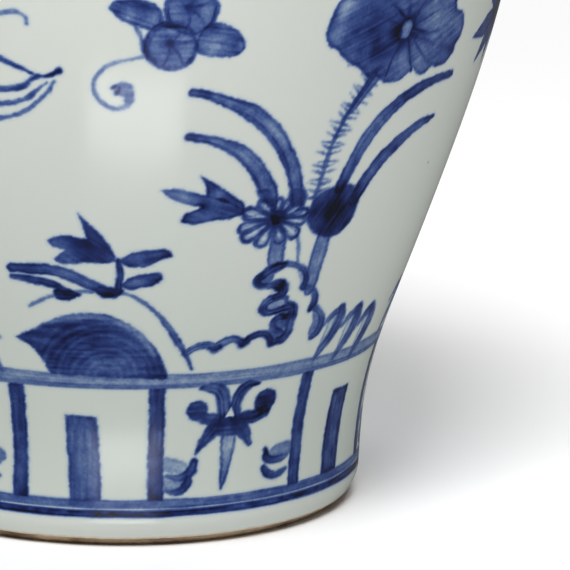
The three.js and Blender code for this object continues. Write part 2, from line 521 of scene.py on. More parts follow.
@dataclass(frozen=True)
class Spot:
    """Where a motif is painted: the angle and height of its own origin, and how it is turned there."""

    angle: float
    height: float
    mirrored: bool = False
    turned: float = 0.0
    size: float = 1.0

    @cached_property
    def flip(self) -> np.ndarray:
        """Factors on the motif's two axes, which mirror it or don't."""
        return np.array([-1.0 if self.mirrored else 1.0, 1.0])

    @cached_property
    def turn(self) -> np.ndarray:
        """The matrix that turns rows of points as the motif is turned."""
        c, s = math.cos(math.radians(self.turned)), math.sin(math.radians(self.turned))
        return np.array([[c, s], [-s, c]])

    def to_wall(self, points: np.ndarray) -> np.ndarray:
        """Takes points of the motif to millimetres round and up the wall from the spot."""
        return self.size * (points * self.flip) @ self.turn

    def to_motif(self, points: np.ndarray) -> np.ndarray:
        """Takes millimetres round and up the wall from the spot to points of the motif."""
        return (points @ self.turn.T) / self.size * self.flip


@dataclass(frozen=True)
class Line:
    """A line painted round the vase on the wheel."""

    walk: float
    width: float
    tone: Tone
    wander: float = 0.25
    streak: float = 0.16

    REACH = 1.5  # how far past its edges it is worked out, in millimetres
    RIPPLES = 6.0  # how quickly it wanders as it goes round
    SWELL = 0.12  # how much its width varies, as a share
    RIM = 0.12
    RIM_WIDTH = 0.55
    SOFT = 0.45


class Canvas:
    """The stretch of wall that one ring of the model carries, and the cobalt painted on it."""

    CHUNK = 3_000_000  # distances worked out at a time
    MARGIN = 0.5  # how far past a mark's reach it is worked out, in millimetres
    BUILD_UP = 0.3  # how much the lighter of two layers darkens the other

    def __init__(self, walks: np.ndarray, angles: np.ndarray) -> None:
        """Starts bare.

        Args:
            walks: The walk of each row of points.
            angles: The angle of each column, in degrees.
        """
        self.walks = walks
        self.angles = angles
        self.radii = VASE.place(walks)[:, 0]
        self.cobalt = np.zeros((len(walks), len(angles)))

    def lay(self, rows: np.ndarray, columns: np.ndarray, layer: np.ndarray) -> None:
        """Lays cobalt over what is there.

        Args:
            rows: The rows that it falls on.
            columns: The columns.
            layer: How much, for each of those points.
        """
        cells = np.ix_(rows, columns)
        most, least = np.maximum(self.cobalt[cells], layer), np.minimum(self.cobalt[cells], layer)
        self.cobalt[cells] = most + self.BUILD_UP * least * (1 - most)

    def draw_line(self, line: Line) -> None:
        """Paints a line all the way round.

        Args:
            line: What to paint.
        """
        rows = np.flatnonzero(np.abs(self.walks - line.walk) < line.width / 2 + line.REACH)
        if not rows.size:
            return
        a = np.radians(self.angles)[None, :]
        across, along = line.RIPPLES * np.cos(a), line.RIPPLES * np.sin(a)
        drift = GRAIN.at(across + line.walk, along + 40) * line.wander
        swell = GRAIN.at(2 * across + 90, 2 * along + line.walk) * line.SWELL * line.width
        inside = (line.width + swell) / 2 - np.abs(self.walks[rows][:, None] - line.walk - drift)
        x, y = self.radii[rows][:, None] * a, self.walks[rows][:, None]
        streaks = GRAIN.at(x / 14, y / 0.6 + line.walk) + 0.8 * GRAIN.at(x / 2.2, y / 1.4 + 31)
        pooled = np.exp(-((np.maximum(inside, 0) / line.RIM_WIDTH) ** 2))
        body = line.tone.value * (1 + line.streak * streaks) + line.RIM * (pooled - INNER)
        layer = np.clip(body, 0, 1) * covering(inside, line.SOFT)
        self.lay(rows, np.arange(len(self.angles)), layer)

    def paint(self, mark: Mark, spot: Spot) -> None:
        """Paints one mark of a motif.

        Args:
            mark: The stroke or filled shape.
            spot: Where its motif is.
        """
        there = spot.to_wall(mark.line)
        reach = mark.reach * spot.size + self.MARGIN
        walk = VASE.walk_at(spot.height)
        up = self.walks - walk
        rows = np.flatnonzero((up > there[:, 1].min() - reach) & (up < there[:, 1].max() + reach))
        if not rows.size:
            return
        away = (self.angles - spot.angle + 180) % FULL_TURN - 180.0
        scale = math.radians(1) * self.radii[rows].min()
        low, high = (there[:, 0].min() - reach) / scale, (there[:, 0].max() + reach) / scale
        columns = np.flatnonzero((away > low) & (away < high))
        if not columns.size:
            return
        x = np.radians(away[columns])[None, :] * self.radii[rows][:, None]
        y = np.broadcast_to(up[rows][:, None], x.shape)
        places = spot.to_motif(np.stack([x.ravel(), y.ravel()], axis=1))
        layer = np.zeros(len(places))
        block = max(self.CHUNK // len(mark.line), 1)
        for start in range(0, len(places), block):
            part = places[start:start + block]
            layer[start:start + block] = mark.amount(part[:, 0], part[:, 1])
        layer = layer.reshape(x.shape)
        if mark.lift:
            self.cobalt[np.ix_(rows, columns)] *= 1 - layer
        else:
            self.lay(rows, columns, layer)


class Motif:
    """Something that the painter repeats round the vase."""

    def marks(self) -> list[Mark]:
        """The strokes and washes it is painted with, in order."""
        raise NotImplementedError


@dataclass(frozen=True)
class Divider(Motif):
    """An upright between two panels of the border, from its lower lines to its upper ones."""

    width: float = 5.0
    lean: float = 0.0
    top: float = 21.8
    foot: float = -17.6

    def marks(self) -> list[Mark]:
        """The upright, and the darker dab that its foot ends in."""
        half = self.width / 2
        top, foot = self.lean, -self.lean
        upright = Patch(
            ((top - half, self.top), (top + half, self.top), (0.1 + half, 2), (foot + half, self.foot),
             (foot - half, self.foot), (0.2 - half, 1)),
            (0, 1, 3, 4), FULL, rim=0.1, rim_width=1, streak=0.16, grain_angle=90,
            pools=(Pool(top, self.top, 4, 0.06), Pool(foot, self.foot + 1, 2.6, 0.16)),
        )
        return [upright]


@dataclass(frozen=True)
class BorderBar(Motif):
    """The broad bar in the middle of a plain panel, which stops short of the panel's top."""

    width: float = 10.0
    top: float = 11.8
    foot: float = -17.6
    lean: float = 1.6
    tone: Tone = BODY

    def marks(self) -> list[Mark]:
        """The bar, with cobalt gathered down its sides."""
        half = self.width / 2
        left, right = -half - self.lean, half - self.lean
        corners = ((left, self.top), (right, self.top - 0.3), (half, self.foot), (-half, self.foot))
        return [Patch(corners, (0, 1, 2, 3), self.tone, rim=0.2, rim_width=1.4, streak=0.2, grain_angle=90,
                      pools=(Pool(0, self.foot, 3, 0.06),))]


@dataclass(frozen=True)
class Pendant(Motif):
    """The hanging flower of a border panel: two horns, two curled sepals, two points and a long drop."""

    reach: float = 1.0  # how far the side dabs stand from it, as a share of the first one's

    def marks(self) -> list[Mark]:
        """The flower first, then the dabs beside the uprights."""
        far = self.reach
        hooks = [
            Stroke(((-23.4 * far, -5), (-19, -6.4), (-16, -8)), (5, 4.6, 2.6), PALE, rim=0.04),
            Stroke(((-23.4 * far, -11.8), (-20, -12.4), (-17, -12)), (3.6, 3.4, 2.2), PALE, rim=0.04),
            Stroke(((-14.2, -4.8), (-15.2, -8), (-17.6, -9.6), (-20.4, -9.8), (-23.0 * far, -9.2)),
                   (2.2, 3.6, 3, 2.2, 1.2), (FULL, FULL, BODY, WASH)),
            Stroke(((-16, -10), (-16.5, -12.6), (-18.4, -14.3), (-21, -14.8), (-23.6 * far, -14)),
                   (2.2, 3.2, 2.8, 2.2, 1.2), (FULL, FULL, BODY, WASH)),
            Stroke(((21.0 * far, -4.4), (16, -4.8), (13, -6.4)), (5, 4.4, 2.6), WASH, rim=0.04),
            Stroke(((11.6, -3.6), (12.3, -6.2), (14.4, -7.3), (17.4, -7.4), (20.8 * far, -6.8)),
                   (2, 3, 2.8, 2.4, 1.2), (DEEP, FULL, BODY, WASH)),
            Stroke(((11.2, -9.6), (12.8, -11.7), (15.2, -12.7), (18, -12.5), (20.8 * far, -11.2)),
                   (1.8, 2.6, 2.6, 2.2, 1.2), (FULL, FULL, BODY, WASH)),
        ]
        flower = [
            Stroke(((-14.8, 21.2), (-11.4, 21.2), (-8.4, 19.8), (-6.6, 16.8), (-5.6, 13), (-5, 9.4)),
                   (1.4, 3.8, 4.6, 4.6, 4.6, 5), FULL, rim=0.04, streak=0.3),
            Stroke(((5.6, 21), (2.4, 20.9), (-0.2, 19), (-1.6, 15.8), (-1.8, 12.8), (-1.2, 9.6)),
                   (1.2, 3.6, 4.4, 4.2, 4, 4.6), FULL, rim=0.04, streak=0.3),
            Patch(((-18.7, 13.4), (-17.4, 16), (-14.8, 16.7), (-12.2, 15.4), (-11.4, 12.8), (-13, 10),
                   (-16.4, 9.8)), tone=FULL, rim=0.06, rim_width=1),
            Stroke(((-15, 11.8), (-11.6, 10), (-8, 9.2)), (3.6, 4, 4.8), FULL, rim=0.04),
            Patch(((5.2, 13.6), (6, 16.8), (8.8, 18.4), (12, 17.4), (13.2, 14.4), (12, 10.8), (8.6, 8.6),
                   (6.2, 10.6)), tone=DEEP, rim=0.08, pools=(Pool(9.4, 14, 3.5, 0.08),)),
            Stroke(((9.4, 10.6), (6, 9.2), (2, 9)), (4.6, 4.6, 5), (DEEP, FULL), rim=0.04),
            Patch(((-10.6, 9.6), (-6, 10.4), (-1, 10.2), (4.2, 9.8), (3.4, 5.6), (-0.4, 3.4), (-5.6, 3.4),
                   (-9.6, 5.4)), tone=FULL, rim=0,
                  pools=(Pool(-6.2, 7, 2.6, 0.04), Pool(1.4, 8.6, 2.2, 0.04))),
            Stroke(((-8, 6.8), (-10.6, 3), (-12.4, 0.6), (-14, -2.2)), (5.6, 4.4, 3, 1), FULL, rim=0.04),
            Stroke(((0.2, 6.6), (2.8, 3.4), (5, -0.4)), (5.2, 4.6, 2), FULL, rim=0.04),
            Stroke(((-3, 6), (-3, 0), (-3.5, -8), (-4.4, -14.6)), (5.2, 4.8, 3.4, 1),
                   (WASH, PALE, WASH, BODY), rim=0.42),
            Patch(((-3.3, 12.9), (-1.9, 10), (-5, 9.9)), (0, 1, 2), lift=1, soft=0.35),
        ]
        return hooks + flower


@dataclass(frozen=True)
class Hill(Motif):
    """A round hill washed in arc by arc, with a thin line of mist over it."""

    centre: Point = (-3, 1)
    arcs: int = 9
    first: float = 3.2
    pitch: float = 2.45

    def arc(self, index: int) -> Stroke:
        """One sweep of the brush over the hill.

        Args:
            index: Counts the arcs from the middle outwards.

        Returns:
            The stroke.
        """
        radius = self.first + index * self.pitch
        low = 6.0
        high = 176.0 - max(radius - 17, 0) * 3.4
        points = []
        for angle in np.radians(np.linspace(low, high, 9)):
            wobble = 1.0 + 0.025 * math.sin(3 * angle + 1.7 * index)
            points.append((
                self.centre[0] + 0.97 * radius * wobble * math.cos(angle),
                self.centre[1] - 0.6 + radius * wobble * math.sin(angle),
            ))
        return Stroke(tuple(points), (1.2, 1, 1.1), lift=0.16 if index % 2 else 0.1, soft=0.8)

    def marks(self) -> list[Mark]:
        """The dome, its arcs, its dark side and foot, and the line over it."""
        dome = Patch(
            ((17.2, -0.6), (16.2, 4), (14, 9.4), (10.6, 14.6), (6.4, 19.2), (2, 21.6), (-2, 23.4),
             (-8, 24.3), (-14, 23.6), (-20, 21.2), (-25.5, 17.8), (-31.5, 13.6), (-25.4, 9.6), (-20, 0.8)),
            (0, 11, 13), FULL, rim=0.04, rim_width=1.4, streak=0.14,
            pools=(Pool(-14, 14, 8, 0.14), Pool(-4, 17, 6.5, 0.12), Pool(13, 4, 4, 0.14),
                   Pool(-20, 9, 5, 0.12), Pool(-5, 3, 6, -0.1), Pool(3, 3, 4, -0.06)),
        )
        light = Stroke(((-27, 17.2), (-24, 19.2), (-17, 22.1), (-10, 23.3), (-3, 22.6), (3, 20.2),
                        (8.6, 15.4), (12.6, 8.6)), (1.8, 2.8, 3.2, 2.4, 1.8, 2.4, 2, 1), lift=0.34, soft=0.9)
        mist = Stroke(
            ((-27, 25.8), (-20, 30), (-12, 32), (-4, 32.4), (4, 31.4), (9, 28.3), (13, 24.6),
             (17, 18.7), (20, 13.2), (22.5, 8.8), (24, 5.2), (24.8, 2.8)),
            (1.2, 1.3, 1.3, 1.4, 1.6, 2.2, 0.8), (WASH, WASH, WASH, BODY, FULL), rim=0.1,
        )
        return [dome, light, *[self.arc(i) for i in range(self.arcs)], mist]


@dataclass(frozen=True)
class ArrowSpray(Motif):
    """An arrowhead leaf and its companions, on a short stem over the hill."""

    def marks(self) -> list[Mark]:
        """The two long blades, the arrowhead, then the two leaves to the right."""
        return [
            Stroke(((-33, -4), (-28, -3.9), (-20, -4), (-14, -5.4), (-9, -8), (-3.4, -10.8)),
                   (3, 4.2, 3.6, 4, 3.8, 3.2), (FULL, FULL, BODY, BODY, FULL), rim=0.26),
            Stroke(((-33, -7.2), (-28, -7.6), (-20, -9), (-15, -11.4)), (1.8, 2.6, 2.8, 2.4),
                   (BODY, FULL, FULL), rim=0.2),
            Patch(((-19.4, -11.4), (-15, -10.8), (-10.8, -12.4), (-14, -14.6), (-18.4, -14)), tone=DEEP,
                  rim=0.1),
            Patch(((-6.6, -10), (-2, -9.4), (2.6, -10.6), (0.6, -13), (-4.6, -12.8)), tone=DEEP, rim=0.1),
            Patch(((-12, 17.2), (-8.4, 13.6), (-4.2, 9), (-1.6, 5), (0.6, 0), (-4, -0.6), (-9, -0.4),
                   (-14, -1.4), (-18.6, -0.7), (-19.4, 0.4), (-15.6, 3.8), (-20.8, 5.8), (-21.6, 7),
                   (-18.6, 8.6), (-9.4, 8.4), (-11, 13.6)),
                  (0, 4, 9, 10, 12, 14), FULL, rim=0.06, grain_angle=-35, streak=0.14,
                  pools=(Pool(-7.4, 5.2, 5, 0.16), Pool(-9.6, 12, 3, 0.06), Pool(-17, 7, 2.4, -0.06),
                         Pool(-14, 1.2, 3.2, -0.06))),
            Stroke(((0.6, 0.6), (1.4, -4), (0.8, -10.8)), (1.7, 1.8, 2.4), FULL),
            Patch(((0.4, 0.2), (5, 3.1), (10, 4), (16.4, 3.8), (17.4, 2), (14.6, 0.9), (10, -1.3), (5, -1.9)),
                  (0, 4), FULL, rim=0.14, grain_angle=12, pools=(Pool(16, 2.6, 2.4, 0.16),)),
            Patch(((1.4, -8.6), (5, -5.6), (9, -4.4), (14.6, -4.9), (14.6, -6.5), (12.8, -8.2), (8, -9.4),
                   (3, -9.9)), (0, 4), FULL, rim=0.2, grain_angle=5,
                  pools=(Pool(7, -7, 2.4, -0.16), Pool(14, -6, 2, 0.14))),
        ]


@dataclass(frozen=True)
class GardenRock(Motif):
    """A pierced garden rock on a scalloped line of ground, with the pale stems that stand behind it."""

    def marks(self) -> list[Mark]:
        """The stems first, then the ground and the lobes of the rock."""
        stems = [
            Stroke(((-9.8, 37), (-9.2, 31), (-8.2, 26.6)), (5.4, 5.8, 5.4), WASH, rim=0.3),
            Stroke(((8.2, 40), (7.8, 33), (7.5, 24), (7.3, 16)), (5.2, 5.8, 5.8, 4.6), WASH, rim=0.34),
            Stroke(((-4, 39), (-2, 34.6), (-0.8, 30), (-0.3, 27)), (1, 1.1, 1), WASH, rim=0.1),
        ]
        fills = [
            Patch(((-13.4, 22.4), (-11, 25), (-8.6, 24.8), (-8.8, 20.6), (-12, 20)), tone=BODY, rim=0),
            Patch(((-8, 18.8), (-5.4, 18.8), (-4.2, 16.6), (-6.4, 15), (-8, 16.6)), tone=MIST, rim=0),
            Patch(((-8.4, 12.4), (-4, 13.4), (-0.6, 12.4), (-3, 10.6), (-7.4, 10.2)), tone=PALE, rim=0),
            Patch(((-3.4, 5.6), (2.4, 5.4), (2.4, 2.2), (-0.4, 2.2), (-3, 3.6)), tone=BODY, rim=0),
            Patch(((-3.4, 1.4), (0.6, 0.2), (1.2, -1.4), (-2, -1.8)), tone=BODY, rim=0),
            Patch(((0.4, 24.8), (3.8, 22.6), (4.8, 17.8), (3.4, 17.2), (2.2, 20.4)), tone=PALE, rim=0),
            Patch(((11.2, 7.6), (14, 6.4), (16, 2), (15, -2.4), (12.4, -1.8), (12.6, 3)), tone=WASH,
                  rim=0.06),
            Patch(((6, 16.4), (9.6, 15), (11, 11.6), (9.6, 10.8), (8.6, 13.6)), tone=MIST, rim=0),
        ]
        ground = [
            Stroke(((-32, -3.6), (-29.6, -1.8), (-25.6, -1), (-22.6, -2.2), (-20.4, -0.7), (-17, 0.3),
                    (-14.8, -0.4), (-13, -1.2), (-11, 0.3), (-8.2, 1.3), (-5.2, 0.7), (-3.6, -1),
                    (-2.7, -3.2)), (2.2, 2.8, 2.6, 3.2, 2.8, 2.8, 2.8, 3, 2.6), (BODY, FULL, FULL, FULL),
                   rim=0.06, streak=0.4),
            Stroke(((-24.6, -2.2), (-22.6, -2.8), (-21.2, -2.2)), (1.8, 3, 2.4), DEEP, rim=0, soft=0.9),
            Stroke(((-14.8, -1), (-13.4, -2), (-11.9, -1.4)), (2, 3.2, 2.2), DEEP, rim=0, soft=0.9),
        ]
        stack = [
            Stroke(((-5, 26.8), (-9, 26), (-11.8, 23.8), (-13.8, 21.6), (-12.4, 19.9), (-9, 19.6),
                    (-5.8, 19.5), (-3.6, 18), (-3.4, 15.8), (-5.4, 14.6)),
                   (2.6, 3.4, 3.6, 3.6, 3.2, 2.6, 3.4, 4.8, 4, 2.4), (FULL, FULL, FULL, FULL, DEEP, FULL),
                   rim=0.04, streak=0.34),
            Stroke(((-4.6, 14.7), (-7.4, 14), (-9, 12.4), (-9.2, 10.6), (-7.6, 9.2), (-4.4, 9.2), (-1, 10),
                    (1.6, 10.2)), (3.2, 3, 2.8, 2.8, 2.8, 2.6, 3.2, 3.6), FULL, rim=0.04, streak=0.34),
            Stroke(((-4, 14.4), (-1.6, 13.9), (-0.4, 12.2)), (2.4, 2.1, 1.4), BODY, rim=0.04),
            Stroke(((0.4, 11), (2.4, 9.6), (2.9, 7), (2.9, 3.6), (2.8, 0.6), (1.4, -1.4), (-0.8, -2),
                    (-3, -3)), (3, 4, 4, 3.4, 3.8, 4, 3.2, 2), (FULL, DEEP, FULL, FULL, DEEP, FULL),
                   rim=0.04, streak=0.34),
            Stroke(((3, 6.9), (0.6, 6.8), (-2, 6.8), (-3.7, 5.4), (-3.6, 3.4), (-1.8, 1.9), (0.4, 0.8),
                    (1.6, 0.2)), (3.2, 3, 3.2, 2.8, 2.8, 2.6, 2.2, 1.8), (DEEP, DEEP, FULL, FULL, BODY),
                   rim=0.04, streak=0.34),
        ]
        right = [
            Stroke(((-5, 27), (-2, 26.4), (1, 25.2), (3.6, 23.2), (4.9, 20.6), (5.1, 17.4)),
                   (2.2, 2, 1.9, 2.3, 2.9, 2.2), (BODY, BODY, BODY, FULL, FULL), rim=0.06),
            Stroke(((4.4, 17.2), (7, 16.6), (9.6, 14.8), (11, 11.8), (10.9, 9.8), (10, 8.2)),
                   (2.4, 2.6, 2.6, 2.9, 3.2, 2.6), (FULL, BODY, FULL, DEEP), rim=0.06),
            Stroke(((10.4, 8.8), (13, 7.7), (15.2, 5.6), (16.8, 2.4), (16.4, -0.6), (15.4, -2.2), (14, -3)),
                   (2.4, 2.4, 2.2, 3, 3.4, 3.4, 2.8), (FULL, BODY, FULL, FULL), rim=0.06),
        ]
        return stems + fills + ground + stack + right


@dataclass(frozen=True)
class Tuft(Motif):
    """Grass drawn as a row of bent strokes, each a thin rise and a thick fall."""

    blades: int = 3
    pitch: float = 10.5

    def marks(self) -> list[Mark]:
        """One rise and one fall for each blade."""
        made: list[Mark] = []
        for i in range(self.blades):
            x, y = i * self.pitch, -1.8 * i
            shift = 0.6 * math.sin(2.3 * i)
            rise = ((x - 11.4, y + 4.4), (x - 8, y + 8), (x - 4.6 + shift, y + 9.8))
            fall = ((x - 4.2 + shift, y + 9.6), (x - 3.5, y + 6.8), (x - 4.2, y + 2.6), (x - 5.6, y - 0.6),
                    (x - 8.2, y - 4.2), (x - 10.4, y - 8))
            made.append(Stroke(((x - 7.4, y + 5.6), (x - 7.4, y + 2), (x - 9.4, y - 3)), (3, 3.8, 1.4), MIST))
            made.append(Stroke(rise, (1.8, 2.8, 3.4), (WASH, BODY, FULL), rim=0.06, soft=0.8))
            made.append(Stroke(fall, (3.6, 4.8, 4.8, 4.2, 3.4, 1.4), (FULL, BODY, FULL, BODY, BODY),
                               rim=0.06, soft=0.9))
        return made


@dataclass(frozen=True)
class Aster(Motif):
    """An open flower of outlined petals."""

    inner: float = 2.6
    petals: Spread = (
        (8, 11.8, 1.2), (26, 10, 2.3), (59, 7.6, 1.4), (92, 7.6, 1.4), (132, 9.8, 1.5), (164, 12.2, 1.7),
        (193, 12.6, 1.6), (211, 12.2, 1.8), (245, 10.5, 1.9), (291, 9.6, 1.8), (323, 11.4, 1.7),
        (350, 11, 1.3),
    )

    def petal(self, degrees: float, reach: float, half: float) -> list[Mark]:
        """One petal: a pale fill and the loop drawn round it.

        Args:
            degrees: Which way it points.
            reach: How far.
            half: Half its width.

        Returns:
            Its marks.
        """
        angle = math.radians(degrees)
        out, side = (math.cos(angle), math.sin(angle)), (-math.sin(angle), math.cos(angle))

        def at(along: float, across: float) -> Point:
            """A point of the petal, along it and across it."""
            return (along * out[0] + across * half * side[0], along * out[1] + across * half * side[1])

        middle = (self.inner + reach) / 2
        loop = (at(self.inner, 0.4), at(middle, 1), at(reach - 0.9, 0.95), at(reach, 0),
                at(reach - 0.9, -0.95), at(middle, -1), at(self.inner, -0.4))
        inner = (at(self.inner + 1.4, 0), at(middle, 0.3), at(reach - 1.6, 0), at(middle, -0.3))
        return [
            Patch(loop, tone=PALE, rim=0.02),
            Patch(inner, (0, 2), lift=0.7, soft=0.8),
            Stroke(loop, (1.3, 1.5, 1.4), (FULL, BODY, FULL, BODY, FULL), rim=0.08),
        ]

    def marks(self) -> list[Mark]:
        """The wash between the petals, the petals, then the dark heart."""
        between = Patch(((-6.8, 2.6), (-1.6, 6), (4.6, 5.4), (7.4, 0.8), (5.8, -5.2), (0.6, -6.6),
                         (-4.6, -5.6), (-7.4, -2)), tone=BODY, rim=-0.1, rim_width=1.6, soft=1)
        ends = [Patch(((-8.6, 11.6), (-5.4, 11.8), (-2, 8), (-1.6, 4.6), (-4.4, 5), (-7.6, 8.4)), tone=FULL,
                      rim=0, soft=1),
                Patch(((3, 10), (7.4, 11.2), (9.6, 7.6), (9, 3.6), (4.6, 4.4), (3, 6.8)), tone=FULL,
                      rim=0, soft=1)]
        petals = [*ends, between, *[mark for petal in self.petals for mark in self.petal(*petal)]]
        heart = Patch(((-2.8, 3), (-0.6, 3.4), (1.6, 3.2), (3.8, 2.2), (4, 0), (2.4, -1.6), (0.8, -2.8),
                       (-1, -2.4), (-2.2, -0.4)), tone=DEEP, rim=0, soft=0.8,
                      pools=(Pool(-1.2, 1, 1.3, 0.2), Pool(0, -1.4, 1.5, 0.3)))
        return [*petals, heart]


@dataclass(frozen=True)
class LongBlades(Motif):
    """Two long blades that rise together and bend over to the left."""

    def marks(self) -> list[Mark]:
        """The upper blade, then the lower one."""
        tones = (FULL, BODY, BODY, WASH, BODY, BODY, FULL)
        return [
            Stroke(((-28, 43), (-24, 42.3), (-18, 40.1), (-10, 36.3), (-4, 32.2), (1.2, 27), (6, 20.4),
                    (9.6, 13.4), (12, 6.4), (13.2, 0.6)),
                   (2.8, 3, 4, 5.4, 5.6, 5.4, 5, 5, 4.8, 4.2), tones, rim=0.32, streak=0.22),
            Stroke(((-27, 27.8), (-22, 26.8), (-16, 24.8), (-10, 21.8), (-5, 17.2), (-0.6, 11.4), (2.8, 5.6),
                    (4.2, 1.4)),
                   (3, 2.8, 3.6, 4.8, 5.4, 5.6, 5.2, 4.2), tones, rim=0.3, streak=0.22),
            Stroke(((-14, 37), (-6, 32), (0.6, 25.4), (6.6, 16.6), (9.6, 8)), (0.8, 1.4, 1.6, 1.4, 1),
                   FULL, rim=0.04, soft=0.7),
            Stroke(((-12, 21.4), (-6, 15.6), (-1.8, 9)), (0.8, 1.4, 1.2), FULL, rim=0.04, soft=0.7),
        ]


@dataclass(frozen=True)
class ArrowLeaf(Motif):
    """A single arrowhead leaf that points left from its joint."""

    def marks(self) -> list[Mark]:
        """The leaf, its darker folds and its short stalk."""
        return [
            Patch(((-33.2, 9), (-29, 9.4), (-24, 8.2), (-18.4, 6.6), (-19, 9.8), (-21.4, 13.9), (-15.6, 10.2),
                   (-10.4, 6.4), (-5.4, 2.2), (-5.2, -0.8), (-9, -1.8), (-15, -2.4), (-22, -3.2),
                   (-25.2, -2.2), (-24.6, -0.4), (-19.8, 2.6), (-25, 4.2), (-30.4, 6.6)),
                  (0, 3, 5, 9, 15), BODY, rim=0.26, grain_angle=-20,
                  pools=(Pool(-10, 1.6, 4.6, 0.24), Pool(-18.4, 9.6, 3.2, 0.24), Pool(-18.6, 2.6, 2.8, 0.26),
                         Pool(-27, 7.2, 4.4, -0.16), Pool(-24, -2, 2.6, 0.22), Pool(-14.6, 7, 1.6, -0.16))),
            Stroke(((-17.6, 6.2), (-12, 4.4), (-6.6, 1.4)), (0.8, 1.6, 1), DEEP),
            Stroke(((-6, 1.2), (-2.6, 1.2), (0.6, 1)), (1, 0.9, 0.9), BODY),
            Stroke(((-6, -0.4), (-3.4, -1.6), (-1, -1.4)), (1.6, 0.9, 0.9), BODY),
        ]


@dataclass(frozen=True)
class BudSpray(Motif):
    """A dark round bud with two blades to its right and a hairy stem that climbs past it."""

    hairs: int = 22

    def hairy_stem(self) -> list[Mark]:
        """The stem and the short hairs on both its sides."""
        stem = Stroke(((-11.2, 4.6), (-10.6, 15), (-9.6, 25), (-7.6, 32), (-4.8, 38), (-1.8, 43), (2, 49)),
                      (1.6, 1.7, 1.5, 2, 2.6), (WASH, WASH, BODY, FULL, FULL), rim=0.08)
        walked, line = lengths_along(stem.line), stem.line
        along = np.gradient(line, axis=0)
        made: list[Mark] = [stem]
        for i in range(self.hairs):
            at = (i + 0.6) / self.hairs * walked[-1]
            k = int(np.searchsorted(walked, at))
            direction = along[k] / np.hypot(*along[k])
            side = np.array([-direction[1], direction[0]])
            for sign in (1, -1):
                long = 4.3 + 0.7 * math.sin(3.7 * i + sign)
                root = line[k] + sign * 0.4 * side
                tip = line[k] + sign * long * side + 1.0 * direction * (1 if i % 3 else -0.3)
                made.append(Stroke((tuple(root), tuple(tip)), (1, 0.9, 0.6), (BODY, WASH, PALE), rim=0.04))
        return made

    def marks(self) -> list[Mark]:
        """The stems, the blades and then the bud over them."""
        tones = (DEEP, BODY, BODY, FULL, FULL, FULL)
        return [
            *self.hairy_stem(),
            Stroke(((-2, 7.6), (-0.4, 13), (2.2, 20), (6.2, 27.4), (12, 33.4), (19, 37.4), (27, 39.9),
                    (35, 41.1), (44.6, 41.3)),
                   (4.6, 4.6, 5.6, 5.6, 5, 4.4, 3.8, 3.2, 2.2), tones, rim=0.2),
            Stroke(((5.6, 2.6), (9, 9.4), (13, 14.9), (18, 19.5), (24, 23.1), (31, 25.8), (38.8, 27.2)),
                   (4.8, 5.4, 5.6, 5.2, 4.4, 3.4, 1.4), (DEEP, BODY, FULL, BODY, FULL), rim=0.2),
            Patch(((-12.2, 1.6), (-10.6, 6.4), (-6, 8.8), (-1, 9.4), (4.6, 7.8), (7.6, 4.4), (8.3, 0),
                   (7, -5), (3.6, -8.8), (-1, -9.8), (-5.6, -8.6), (-9.6, -5.6), (-12.2, -2)),
                  tone=DEEP, rim=-0.06, rim_width=1.6, grain_angle=60, streak=0.1, soft=0.8,
                  pools=(Pool(-1.6, 0, 3.6, 0.14), Pool(-8, 5.4, 3, -0.12), Pool(4.2, 5, 3, -0.08),
                         Pool(-8.4, -3.4, 2.6, -0.1))),
        ]


